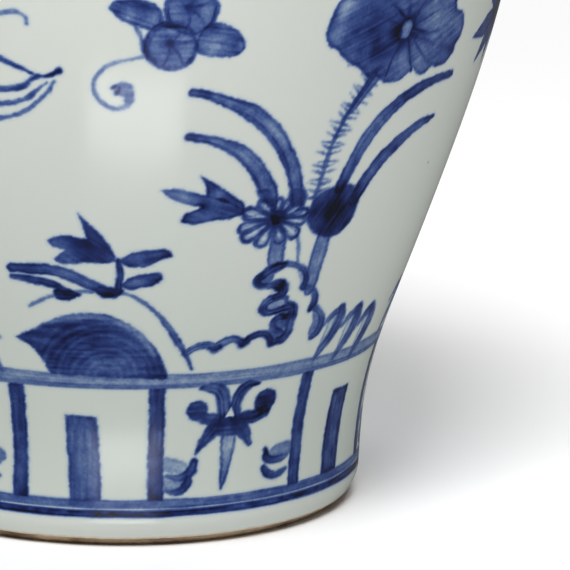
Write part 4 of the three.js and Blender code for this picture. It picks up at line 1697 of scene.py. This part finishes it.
class Expression:
    """A value in a finish. Arithmetic on it adds the nodes that work it out."""

    def __init__(self, finish: "Workshop", socket: bpy.types.NodeSocket) -> None:
        """Wraps a socket.

        Args:
            finish: The node tree it belongs to.
            socket: The output that carries the value.
        """
        self.finish = finish
        self.socket = socket

    def worked(self, operation: str, *values: "Number") -> "Expression":
        """Adds a Math node on values.

        Args:
            operation: Its operation.
            *values: What it works on, in order.

        Returns:
            Its result.
        """
        node = self.finish.node("ShaderNodeMath", {"operation": operation}, dict(enumerate(values)))
        return Expression(self.finish, node.outputs[0])

    def __add__(self, other: "Number") -> "Expression":
        """Sum."""
        return self.worked("ADD", self, other)

    def __radd__(self, other: "Number") -> "Expression":
        """Sum, the other way round."""
        return self.worked("ADD", other, self)

    def __sub__(self, other: "Number") -> "Expression":
        """Difference."""
        return self.worked("SUBTRACT", self, other)

    def __rsub__(self, other: "Number") -> "Expression":
        """Difference, the other way round."""
        return self.worked("SUBTRACT", other, self)

    def __mul__(self, other: "Number") -> "Expression":
        """Product."""
        return self.worked("MULTIPLY", self, other)

    def __rmul__(self, other: "Number") -> "Expression":
        """Product, the other way round."""
        return self.worked("MULTIPLY", other, self)

    def rising(self, low: float, high: float) -> "Expression":
        """From 0 at low to 1 at high, smoothly, and level outside them."""
        settings = {"interpolation_type": "SMOOTHSTEP"}
        sockets = {"Value": self, "From Min": low, "From Max": high, "To Min": 0, "To Max": 1.0}
        node = self.finish.node("ShaderNodeMapRange", settings, sockets)
        return Expression(self.finish, node.outputs["Result"])


Number = Union[Expression, float]
Colour = tuple[float, float, float]


def linear(colour: Colour) -> Colour:
    """A colour as it is seen on a screen, 0 to 255, as the light that it stands for."""
    shares = [c / 255 for c in colour]
    return tuple(c / 12.92 if c <= 0.04045 else ((c + 0.055) / 1.055) ** 2.4 for c in shares)


class Workshop:
    """One material in the making."""

    MIX_FACTOR, MIX_A, MIX_B, MIX_RESULT = 0, 6, 7, 2  # sockets of a Mix node that works on colours

    def __init__(self, name: str) -> None:
        """Starts with an empty node tree.

        Args:
            name: The material's name.
        """
        self.material = bpy.data.materials.new(name)
        self.material.use_nodes = True
        self.tree = self.material.node_tree
        self.tree.nodes.clear()
        self.place = self.node("ShaderNodeTexCoord", {}, {}).outputs["Object"]

    def node(self, kind: str, settings: dict[str, Any], sockets: dict[Any, Any]) -> bpy.types.Node:
        """Adds a node.

        Args:
            kind: Its type.
            settings: Its settings, which are set first; "stops" fills a colour ramp.
            sockets: A value or a link for each input that isn't left as it is.

        Returns:
            The node.
        """
        made = self.tree.nodes.new(kind)
        for key, value in settings.items():
            if key == "stops":
                self.fill_ramp(made, value)
            else:
                setattr(made, key, value)
        for key, value in sockets.items():
            if isinstance(value, Expression):
                value = value.socket
            if isinstance(value, bpy.types.NodeSocket):
                self.tree.links.new(value, made.inputs[key])
            else:
                made.inputs[key].default_value = value
        return made

    @staticmethod
    def fill_ramp(node: bpy.types.Node, stops: Iterable[tuple[float, Colour]]) -> None:
        """Sets the stops of a colour ramp: a place and a colour each."""
        elements = node.color_ramp.elements
        for i, (position, colour) in enumerate(stops):
            element = elements[i] if i < len(elements) else elements.new(position)
            element.position = position
            element.color = (*colour, 1)

    def attribute(self, name: str) -> Expression:
        """A value kept at the points of the mesh."""
        node = self.node("ShaderNodeAttribute", {"attribute_name": name, "attribute_type": "GEOMETRY"}, {})
        return Expression(self, node.outputs["Fac"])

    def height(self) -> Expression:
        """Height over the table, in millimetres."""
        node = self.node("ShaderNodeSeparateXYZ", {}, {0: self.place})
        return Expression(self, node.outputs["Z"]) * (1 / METRE)

    def stretched(self, factors: Colour) -> bpy.types.NodeSocket:
        """Places in the object, each axis multiplied by a factor."""
        node = self.node("ShaderNodeVectorMath", {"operation": "MULTIPLY"}, {0: self.place, 1: factors})
        return node.outputs[0]

    def noise(self, size: float, detail: float = 2, stretch: Colour = (1, 1, 1)) -> Expression:
        """Smooth variation from about -0.5 to 0.5.

        Args:
            size: Its coarsest features, in millimetres.
            detail: How many finer octaves it has.
            stretch: Factors on the three axes; a small one draws the pattern out.

        Returns:
            The value.
        """
        scale = 1 / (size * METRE)
        sockets = {"Vector": self.stretched(stretch), "Scale": scale, "Detail": detail, "Roughness": 0.55}
        return Expression(self, self.node("ShaderNodeTexNoise", {}, sockets).outputs["Fac"]) - 0.5

    def specks(self, pitch: float, radius: float, kept: float) -> Expression:
        """Small round specks: 1 at their middles and 0 between them.

        Args:
            pitch: Average distance between places where a speck may be, in millimetres.
            radius: Of the largest, in millimetres.
            kept: The share of those places that has one.

        Returns:
            The mask.
        """
        cells = self.node("ShaderNodeTexVoronoi", {}, {"Vector": self.place, "Scale": 1 / (pitch * METRE)})
        split = self.node("ShaderNodeSeparateColor", {}, {0: cells.outputs["Color"]})
        chance, size = Expression(self, split.outputs[0]), Expression(self, split.outputs[1])
        near = 1 - Expression(self, cells.outputs["Distance"]).rising(0.35 * radius / pitch, radius / pitch)
        return near * (1 - chance.rising(kept - 0.01, kept + 0.01)) * (0.35 + 0.65 * size)

    def ramp(self, value: Expression, stops: Iterable[tuple[float, Colour]]) -> bpy.types.NodeSocket:
        """A colour read from stops by a value."""
        return self.node("ShaderNodeValToRGB", {"stops": stops}, {"Fac": value}).outputs["Color"]

    def mix(self, factor: Number, a: Any, b: Any, blend: str = "MIX") -> bpy.types.NodeSocket:
        """Mixes two colours.

        Args:
            factor: How much of the second.
            a: The first, a colour or a socket.
            b: The second.
            blend: How they are mixed.

        Returns:
            The mixed colour.
        """
        given = [(*c, 1) if isinstance(c, tuple) else c for c in (a, b)]
        settings = {"data_type": "RGBA", "blend_type": blend}
        sockets = {self.MIX_FACTOR: factor, self.MIX_A: given[0], self.MIX_B: given[1]}
        return self.node("ShaderNodeMix", settings, sockets).outputs[self.MIX_RESULT]

    def bump(self, height: Expression) -> bpy.types.NodeSocket:
        """A normal that follows a height in millimetres."""
        sockets = {"Strength": 1, "Distance": METRE, "Height": height}
        return self.node("ShaderNodeBump", {}, sockets).outputs["Normal"]

    def done(self, sockets: dict[str, Any]) -> bpy.types.Material:
        """Closes the material with its surface shader.

        Args:
            sockets: Values and links for the shader.

        Returns:
            The material.
        """
        surface = self.node("ShaderNodeBsdfPrincipled", {}, sockets)
        self.node("ShaderNodeOutputMaterial", {}, {"Surface": surface.outputs[0]})
        return self.material


@dataclass(frozen=True)
class CobaltGlaze:
    """Pale blue-green glaze over cobalt, which runs from a watery wash to near black where it is heaped."""

    slot: str = "glazed_porcelain"
    pale: Colour = (214, 218, 210)
    cool: Colour = (206, 212, 207)
    painted_shade: Colour = (236, 239, 237)  # painted shade: the share of the glaze's colour that is kept where the lower wall is darkened
    iron: Colour = (120, 92, 66)  # of the specks in it
    run: tuple[float, float] = (20, 170)  # heights over which that painted shade fades out going up the wall
    shade_rise_at_foot: tuple[float, float] = (4, 20)  # and over which it fades in above the foot, so the foot is painted lighter
    cobalt: tuple[tuple[float, Colour], ...] = (
        (0, (205, 210, 204)), (0.14, (178, 190, 198)), (0.32, (132, 151, 180)), (0.5, (88, 110, 157)),
        (0.66, (56, 79, 138)), (0.8, (33, 53, 114)), (0.92, (15, 30, 83)), (1, (9, 13, 33)),
    )
    specular: float = 0.5

    def tints(self) -> list[tuple[float, Colour]]:
        """The cobalt's stops as shares of the bare glaze's light."""
        bare = linear(self.cobalt[0][1])
        return [(at, tuple(min(c / g, 1) for c, g in zip(linear(seen), bare))) for at, seen in self.cobalt]

    def body(self, shop: Workshop) -> tuple[bpy.types.NodeSocket, Expression]:
        """The colour of glaze and cobalt together, with painted shade low on the wall, and the cobalt's
        amount.
        """
        painted = shop.attribute("cobalt")
        grain, clot = shop.noise(1.1, 3), shop.noise(4.5)
        amount = painted + painted * (1 - painted) * (1.1 * grain + 0.8 * clot)
        glaze = shop.mix(shop.noise(70, 3) + 0.5, linear(self.pale), linear(self.cool))
        height = shop.height()
        # painted shade: the glaze is darkened over the lower wall, most just above the foot, and left lighter
        # at the foot
        depth = (1 - height.rising(*self.run)) * height.rising(*self.shade_rise_at_foot)
        glaze = shop.mix(depth, glaze, shop.mix(1, glaze, linear(self.painted_shade), "MULTIPLY"))
        colour = shop.mix(1, glaze, shop.ramp(amount, self.tints()), "MULTIPLY")
        specks = shop.specks(24, 0.75, 0.3) * 0.75
        return shop.mix(specks, colour, linear(self.iron)), amount

    def relief(self, shop: Workshop) -> Expression:
        """The glaze's skin: a fine peel over the slow waves of the throwing, in millimetres."""
        waves = shop.noise(46, 1, (0.5, 0.5, 1.6))
        return 0.1 * waves + 0.010 * shop.noise(5, 1) + 0.0035 * shop.noise(1.7, 2)

    def made(self) -> bpy.types.Material:
        """The material."""
        shop = Workshop("cobalt_under_glaze")
        colour, amount = self.body(shop)
        return shop.done({
            "Base Color": colour,
            "Roughness": 0.16 + 0.05 * shop.noise(9) + 0.03 * amount,
            "Normal": shop.bump(self.relief(shop)),
            "Specular IOR Level": self.specular,
        })


@dataclass(frozen=True)
class FootFinish:
    """The foot: glazed down to an uneven line, with bare clay under it that the fire turned brown."""

    slot: str = "bare_porcelain"
    line: float = 2.5  # height at which the glaze ends
    wander: float = 0.5
    clay: Colour = (176, 152, 122)
    burnt: Colour = (112, 82, 56)
    toasted: Colour = (196, 170, 132)  # the glaze along its edge
    grit: Colour = (58, 40, 28)
    thickness: float = 0.28  # of the glaze, in millimetres

    def made(self) -> bpy.types.Material:
        """The material."""
        shop = Workshop("foot_of_bare_clay")
        glaze = CobaltGlaze()
        # the glaze's colour as on the wall, painted shade included
        colour, _ = glaze.body(shop)
        height = shop.height() + 2 * self.wander * shop.noise(7) + self.wander * shop.noise(1.6)
        glazed = height.rising(self.line - 0.12, self.line + 0.12)
        kiss = 1 - (height - self.line).rising(0.1, 1.1)
        scorch = (shop.noise(9, 3) + 0.5).rising(0.3, 0.75)
        clay = shop.mix(scorch, linear(self.clay), linear(self.burnt))
        clay = shop.mix(shop.specks(2.2, 0.5, 0.4), clay, linear(self.grit))
        toasted = shop.mix(kiss * 0.55, colour, linear(self.toasted))
        rough = 0.05 * shop.noise(0.7, 2) + 0.08 * shop.noise(2.4, 2)
        relief = glazed * (self.thickness + glaze.relief(shop)) + (1 - glazed) * rough
        return shop.done({
            "Base Color": shop.mix(glazed, clay, toasted),
            "Roughness": glazed * (-0.66) + 0.8,
            "Normal": shop.bump(relief),
            "Specular IOR Level": glaze.specular,
        })


@dataclass(frozen=True)
class PlainGlaze:
    """Glaze with nothing painted under it, over turned clay, with pinholes and a little grit."""

    slot: str = "glazed_porcelain"
    name: str = "plain_glaze"
    pale: Colour = (216, 222, 214)
    cool: Colour = (205, 214, 210)
    ridge: float = 0.05  # height of the marks that the fingers left
    pitch: float = 7.0
    grit: Colour = (134, 108, 82)  # of the pinholes

    def made(self) -> bpy.types.Material:
        """The material."""
        shop = Workshop(self.name)
        glaze = shop.mix(shop.noise(40, 3) + 0.5, linear(self.pale), linear(self.cool))
        holes = shop.specks(9, 0.45, 0.5)
        colour = shop.mix(holes * 0.7, glaze, linear(self.grit))
        marks = shop.noise(self.pitch, 1, (0.06, 0.06, 1))
        relief = self.ridge * marks + 0.012 * shop.noise(4) - 0.05 * holes
        return shop.done({
            "Base Color": colour,
            "Roughness": 0.18 + 0.08 * shop.noise(8),
            "Normal": shop.bump(relief),
        })


def painted(name: str, walks: np.ndarray, inside: np.ndarray, angles: np.ndarray, corners: tuple[int, ...],
            panes: tuple[Pane, ...]) -> Turning:
    """A turned piece with its stretch of the garden on it.

    Args:
        name: Its name.
        walks: The walks of the rows of its outside, going up.
        inside: The rows of its inside, going down.
        angles: The angle of each column.
        corners: The rows at which it turns sharply.
        panes: How it is cut up on the map.

    Returns:
        The piece.
    """
    canvas = Canvas(walks, angles)
    GARDEN.paint(canvas)
    profile = np.concatenate([VASE.place(walks), inside])
    return Turning(name, profile, angles, corners, panes, cobalt=canvas.cobalt)


class Region(Enum):
    """Which nodes of the solids a stretch of wall stands for."""

    FOOT = "foot_ring"
    LOWER = "lower_body"
    UPPER = "upper_body"
    NECK = "neck"


@dataclass(frozen=True)
class WallRing:
    """One ring of the painted wall, from one walk to another."""

    name: str
    start: float
    stop: float
    region: Region
    fine: float  # degrees between columns where the painting is closest
    coarse: float
    row: float  # millimetres between rows
    strips: int

    FRONT = (-42, 96)
    INSIDE_ROWS = 9
    INSIDE_SHARE = 0.1

    def columns(self) -> np.ndarray:
        """Angles of the columns, closer together over the front."""
        low, high = self.FRONT
        stretches = ((low, high, self.fine), (high, low + FULL_TURN, self.coarse))
        return np.concatenate([
            np.linspace(start, stop, int(round((stop - start) / step)), endpoint=False)
            for start, stop, step in stretches
        ])

    def inside(self) -> np.ndarray:
        """The inner wall, going down."""
        return VASE.inner(np.linspace(self.stop, self.start, self.INSIDE_ROWS))

    def turning(self) -> Turning:
        """The ring with its painting."""
        walks = np.linspace(self.start, self.stop, int(round((self.stop - self.start) / self.row)) + 1)
        last, total = len(walks) - 1, len(walks) + self.INSIDE_ROWS
        share, corners = self.INSIDE_SHARE, (0, last, last + 1, total - 1)
        panes = (Pane(0, last, self.strips, 1 - share), Pane(last, total, 1, share))
        return painted(self.name, walks, self.inside(), self.columns(), corners, panes)


def set_out(name: str, data: Any, place: Place = (0, 0, 0), aim: Place = (0, 0, -1)) -> bpy.types.Object:
    """Puts something in the scene.

    Args:
        name: Its name.
        data: Its mesh, light or camera.
        place: Where it goes, in metres.
        aim: The point that its back, or a light's or camera's front, then faces.

    Returns:
        The object.
    """
    made = bpy.data.objects.new(name, data)
    bpy.context.scene.collection.objects.link(made)
    if any(place):
        made.location = place
        made.rotation_euler = (Vector(aim) - Vector(place)).to_track_quat("-Z", "Y").to_euler()
    return made


class Piece:
    """Something that is built, dressed and set on the vase's body."""

    @staticmethod
    def set_up(turning: Turning, material: bpy.types.Material, slot: str, *nodes: str) -> None:
        """Makes the object of a turned piece.

        Args:
            turning: Its shape.
            material: Its finish.
            slot: The record's material slot; not used.
            *nodes: The solids that it stands for.
        """
        piece = set_out(turning.name, turning.mesh())
        piece.data.materials.append(material)
        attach(piece, "root")
        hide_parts(*nodes)
        log.info("%s: %d faces, stands for %s", piece.name, len(piece.data.polygons), ", ".join(nodes))


@dataclass(frozen=True)
class PaintedWall(Piece):
    """The whole painted wall, from the foot ring to the joint of the neck."""

    glaze: CobaltGlaze = CobaltGlaze()
    border_top: float = 57.0
    rock_top: float = 93.0
    aster_top: float = 129.0
    lotus_top: float = 163.0
    leaf_top: float = 199.0
    shoulder_top: float = 290.0

    def rings(self) -> list[WallRing]:
        """The rings, going up."""
        foot = VASE.walk_at(VASE.foot_height)
        belly = VASE.walk_at(VASE.flare[-1][1])
        neck = VASE.walk_at(VASE.shoulder_height)
        low, high = Region.LOWER, Region.UPPER
        return [
            WallRing("border_wall", foot, self.border_top, low, 0.3, 0.5, 0.48, 3),
            WallRing("rock_wall", self.border_top, self.rock_top, low, 0.26, 0.46, 0.45, 4),
            WallRing("aster_wall", self.rock_top, self.aster_top, low, 0.24, 0.43, 0.45, 4),
            WallRing("lotus_wall", self.aster_top, self.lotus_top, low, 0.23, 0.41, 0.45, 4),
            WallRing("leaf_wall", self.lotus_top, self.leaf_top, low, 0.22, 0.41, 0.48, 4),
            WallRing("belly_wall", self.leaf_top, belly, low, 0.38, 0.38, 0.6, 4),
            WallRing("shoulder_wall", belly, self.shoulder_top, high, 0.38, 0.38, 0.65, 3),
            WallRing("collar_wall", self.shoulder_top, neck, high, 0.42, 0.42, 0.65, 2),
        ]

    def build(self) -> None:
        """Builds and dresses each ring."""
        material = self.glaze.made()
        for ring in self.rings():
            self.set_up(ring.turning(), material, self.glaze.slot, ring.region.value)


@dataclass(frozen=True)
class Neck(Piece):
    """The neck with its rolled lip and its inside."""

    glaze: CobaltGlaze = CobaltGlaze()
    row: float = 0.62
    columns: int = 600
    inner_rows: int = 54
    lip_merge: float = 6.0  # how far under the lip the inner wall starts to follow the outside

    def build(self) -> None:
        """Builds and dresses it."""
        start, stop = VASE.walk_at(VASE.shoulder_height), float(VASE.walks[-1])
        walks = np.linspace(start, stop, int(round((stop - start) / self.row)) + 1)
        inside = VASE.inner(np.linspace(VASE.lip_begins - self.lip_merge, start, self.inner_rows))
        last, total = len(walks) - 1, len(walks) + len(inside)
        panes = (Pane(0, last, 3, 0.7), Pane(last, total - 1, 2, 0.27), Pane(total - 1, total, 1, 0.03))
        turning = painted("neck_and_lip", walks, inside, even_columns(self.columns), (0, total - 1), panes)
        self.set_up(turning, self.glaze.made(), self.glaze.slot, Region.NECK.value)


@dataclass(frozen=True)
class Foot(Piece):
    """The foot ring, glazed on both sides and bare where it stands."""

    finish: FootFinish = FootFinish()
    columns: int = 720
    outer_rows: int = 32
    inner_rows: int = 18

    def build(self) -> None:
        """Builds and dresses it."""
        walks = np.linspace(0, VASE.walk_at(VASE.foot_height), self.outer_rows)
        inner_foot = VASE.contact_radius - VASE.contact_width
        share = np.linspace(0, 1, self.inner_rows)[:, None]
        top = np.array([inner_foot - VASE.ring_lean, VASE.foot_height])
        inside = top * (1 - share) + np.array([inner_foot, 0.0]) * share
        last, total = len(walks) - 1, len(walks) + len(inside)
        panes = (Pane(0, last, 3, 0.4), Pane(last, last + 1, 2, 0.2), Pane(last + 1, total - 1, 2, 0.25),
                 Pane(total - 1, total, 1, 0.15))
        corners = (0, last, last + 1, total - 1)
        turning = painted("foot", walks, inside, even_columns(self.columns), corners, panes)
        self.set_up(turning, self.finish.made(), self.finish.slot, Region.FOOT.value)


@dataclass(frozen=True)
class Base(Piece):
    """The slab that closes the vase, and the ring of slip pressed into its corner."""

    glaze: PlainGlaze = PlainGlaze(name="glaze_of_the_base")
    slip: PlainGlaze = PlainGlaze("luting_slip", "slip_in_the_corner", (208, 210, 200), (196, 199, 190))
    centre: float = 1.2
    step: float = 1.5
    columns: int = 300

    def run(self, start: Point, stop: Point) -> np.ndarray:
        """Points of a straight stretch of profile, without its last."""
        count = max(int(math.dist(start, stop) / self.step), 1)
        return np.linspace(start, stop, count, endpoint=False)

    def curve(self, start: Point, pull: Point, stop: Point) -> np.ndarray:
        """Points of a bent stretch of profile, both ends included."""
        t = np.linspace(0, 1, int(math.dist(start, stop) / self.step) + 2)[:, None]
        return np.array(start) * (1 - t) ** 2 + np.array(pull) * 2 * t * (1 - t) + np.array(stop) * t**2

    def build(self) -> None:
        """Builds and dresses both."""
        radius = VASE.flare[0][0] - VASE.foot_wall - VASE.base_clearance
        low, high = VASE.foot_height, VASE.foot_height + VASE.base_thickness
        crown = radius - VASE.fillet_width
        under = self.run((self.centre, low), (radius, low))
        edge = self.run((radius, low), (radius, high))
        level = self.run((radius, high), (crown, high))
        peak = high + VASE.base_crown
        domed = self.curve((crown, high), (crown / 2, peak), (self.centre, peak))
        corners, angles = (len(under), len(under) + len(edge)), even_columns(self.columns)
        slab = Turning("base", np.concatenate([under, edge, level, domed]), angles, corners, closed=False)
        self.set_up(slab, self.glaze.made(), self.glaze.slot, "base_disc")
        top = high + VASE.fillet_width
        wall = VASE.inner(np.array([VASE.walk_at(top)]))[0]
        upper = (float(wall[0]) - VASE.base_clearance, float(wall[1]))
        hollow = self.curve(upper, (radius, high), (crown, high))
        foot = self.run((crown, high), (radius, high))[1:]
        back = self.run((radius, high), upper)
        corners = (0, len(hollow) - 1, len(hollow) + len(foot))
        fillet = Turning("base_slip", np.concatenate([hollow, foot, back]), angles, corners)
        self.set_up(fillet, self.slip.made(), self.slip.slot, "base_slip_fillet")


@dataclass(frozen=True)
class SlipRing(Piece):
    """A ring of slip smoothed over a joint on the inside of the wall."""

    name: str
    node: str
    height: float  # of the joint on the outside
    lap: float = 3.0
    half_width: float = 6.0
    rise: float = 1.6
    steps: int = 14
    columns: int = 360
    slip: PlainGlaze = PlainGlaze("luting_slip", "smoothed_slip", (208, 210, 200), (196, 199, 190))

    def build(self) -> None:
        """Builds and dresses it."""
        reach = np.linspace(-1, 1, self.steps)
        walks = VASE.walk_at(self.height) + self.lap + reach * self.half_width
        back = VASE.inner(walks)
        across = VASE.place(walks) - back
        across /= np.hypot(*across.T)[:, None]
        swell = self.rise * np.cos(reach * math.pi / 2)[:, None]
        front = (back - across * swell)[::-1][1:-1]
        profile, corners = np.concatenate([back, front]), (0, self.steps - 1)
        ring = Turning(self.name, profile, even_columns(self.columns), corners)
        self.set_up(ring, self.slip.made(), self.slip.slot, self.node)


def sheet(name: str, width: float, depth: float, height: float, finish: bpy.types.Material) -> bpy.types.Mesh:
    """A flat rectangle round the origin, at a height.

    Args:
        name: The mesh's name.
        width: How wide it is, in metres.
        depth: How deep.
        height: How high it lies.
        finish: Its material.

    Returns:
        The mesh.
    """
    x, y = width / 2, depth / 2
    mesh = bpy.data.meshes.new(name)
    mesh.from_pydata([(-x, -y, height), (x, -y, height), (x, y, height), (-x, y, height)], [], [(0, 1, 2, 3)])
    mesh.materials.append(finish)
    return mesh


@dataclass(frozen=True)
class Softbox:
    """A soft square light that looks at a point of the vase."""

    name: str
    place: Place
    aim: Place
    width: float
    height: float
    power: float

    def build(self) -> None:
        """Hangs the light."""
        data = bpy.data.lights.new(self.name, "AREA")
        data.shape = "RECTANGLE"
        data.size, data.size_y = self.width, self.height
        data.energy = self.power
        set_out(self.name, data, self.place, self.aim).visible_camera = False


@dataclass(frozen=True)
class Window:
    """A bright pane low in front of the table that only the glaze mirrors. It lights nothing else."""

    place: Place = (0.046, -0.499, -0.204)
    aim: Place = (0.005, -0.1195, 0.149)
    width: float = 0.26
    height: float = 0.1
    brightness: float = 3.3

    def build(self) -> None:
        """Hangs the pane."""
        glow = Workshop("window_glow").done({
            "Base Color": (0, 0, 0, 1), "Specular IOR Level": 0,
            "Emission Color": (1, 1, 1, 1), "Emission Strength": self.brightness,
        })
        glow.cycles.emission_sampling = "NONE"
        pane = set_out("window", sheet("window", self.width, self.height, 0, glow), self.place, self.aim)
        pane.visible_camera = pane.visible_diffuse = pane.visible_shadow = False


@dataclass(frozen=True)
class Studio:
    """A white table under soft lights, and the camera."""

    table_drop: float = 0.0002
    table_side: float = 18.0
    table_colour: float = 0.93
    white_from: float = 0.45  # how far from the vase the table starts to fade into white
    white_by: float = 1.3
    mirrored: float = 0.12  # how light the room is that the glaze mirrors
    room: float = 0.12  # and that lights the clay
    lights: tuple[Softbox, ...] = (
        Softbox("key", (-0.16, -1.15, 2.15), (0, 0, 0.12), 1, 1, 59),
        Softbox("sky", (0.6, 0.8, 2.2), (0.1, 0, 0), 1.4, 1.4, 26),
    )
    window: Window = Window()
    lens: float = 340.3
    sensor: float = 36.0
    eye: Place = (0, -1.7314, 0.4827)
    yaw: float = 0.03234
    pitch: float = 0.23516
    roll: float = 0.02301

    def table(self) -> None:
        """Lays the table top, a little under the foot. The glaze doesn't mirror it."""
        shop = Workshop("white_table")
        lightness = shop.noise(300) * 0.02 + self.table_colour
        shade = shop.ramp(lightness, ((0, (0, 0, 0)), (1, (1, 1, 1))))
        finish = shop.done({"Base Color": shade, "Roughness": 0.7, "Specular IOR Level": 0.1})
        side = self.table_side
        top = set_out("table_top", sheet("table_top", side, side, -self.table_drop, finish))
        top.visible_glossy = False

    def distance(self) -> None:
        """Lets the table run out into white away from the vase, as a bent paper background does."""
        shop = Workshop("white_distance")
        length = shop.node("ShaderNodeVectorMath", {"operation": "LENGTH"}, {0: shop.place})
        away = Expression(shop, length.outputs["Value"]).rising(self.white_from, self.white_by)
        clear = shop.node("ShaderNodeBsdfTransparent", {}, {})
        white = shop.node("ShaderNodeEmission", {}, {"Strength": 1.0})
        surface = shop.node("ShaderNodeMixShader", {}, {0: away, 1: clear.outputs[0], 2: white.outputs[0]})
        shop.node("ShaderNodeOutputMaterial", {}, {"Surface": surface.outputs[0]})
        shop.material.cycles.emission_sampling = "NONE"
        side, height = self.table_side, -self.table_drop / 2
        paper = set_out("white_distance", sheet("white_distance", side, side, height, shop.material))
        paper.visible_diffuse = paper.visible_glossy = False
        paper.visible_transmission = paper.visible_shadow = False

    def surroundings(self) -> None:
        """Fills the room with white, which is dimmer in what lights the vase and in what it mirrors."""
        world = bpy.data.worlds.new("room")
        bpy.context.scene.world = world
        world.use_nodes = True
        nodes, links = world.node_tree.nodes, world.node_tree.links
        nodes.clear()
        rays = nodes.new("ShaderNodeLightPath")
        output = nodes.new("ShaderNodeOutputWorld")
        seen = [nodes.new("ShaderNodeBackground") for _ in range(3)]
        for background, strength in zip(seen, (self.room, self.mirrored, 1)):
            background.inputs["Strength"].default_value = strength
        shader = seen[0].outputs[0]
        for ray, background in (("Is Glossy Ray", seen[1]), ("Is Camera Ray", seen[2])):
            mix = nodes.new("ShaderNodeMixShader")
            links.new(rays.outputs[ray], mix.inputs[0])
            links.new(shader, mix.inputs[1])
            links.new(background.outputs[0], mix.inputs[2])
            shader = mix.outputs[0]
        links.new(shader, output.inputs["Surface"])
        for background in seen:
            background.inputs["Color"].default_value = (1, 1, 1, 1)

    def camera(self) -> None:
        """Sets the camera up at the photograph's viewing angle."""
        data = bpy.data.cameras.new("camera")
        data.lens, data.sensor_width = self.lens, self.sensor
        camera = set_out("camera", data)
        flat = math.cos(self.pitch)
        ahead = Vector((math.sin(self.yaw) * flat, math.cos(self.yaw) * flat, -math.sin(self.pitch)))
        level = Vector((math.cos(self.yaw), -math.sin(self.yaw), 0))
        above = level.cross(ahead)
        right = level * math.cos(self.roll) + above * math.sin(self.roll)
        up = above * math.cos(self.roll) - level * math.sin(self.roll)
        turn = Matrix((right, up, -ahead)).transposed().to_4x4()
        camera.matrix_world = Matrix.Translation(self.eye) @ turn
        bpy.context.scene.camera = camera

    def build(self) -> None:
        """Sets up the table, the room, the lights, the camera and the way that light turns into colour."""
        self.table()
        self.distance()
        self.surroundings()
        for light in self.lights:
            light.build()
        self.window.build()
        self.camera()
        bpy.context.scene.view_settings.view_transform = "Standard"


def main() -> None:
    """Builds the vase and the studio round it."""
    logging.basicConfig(level=logging.INFO, format="%(name)s: %(message)s")
    Studio().build()
    Foot().build()
    Base().build()
    PaintedWall().build()
    SlipRing("belly_slip", "belly_slip_ring", VASE.flare[-1][1]).build()
    SlipRing("neck_slip", "neck_slip_ring", VASE.shoulder_height).build()
    Neck().build()


if __name__ == "__main__":
    main()
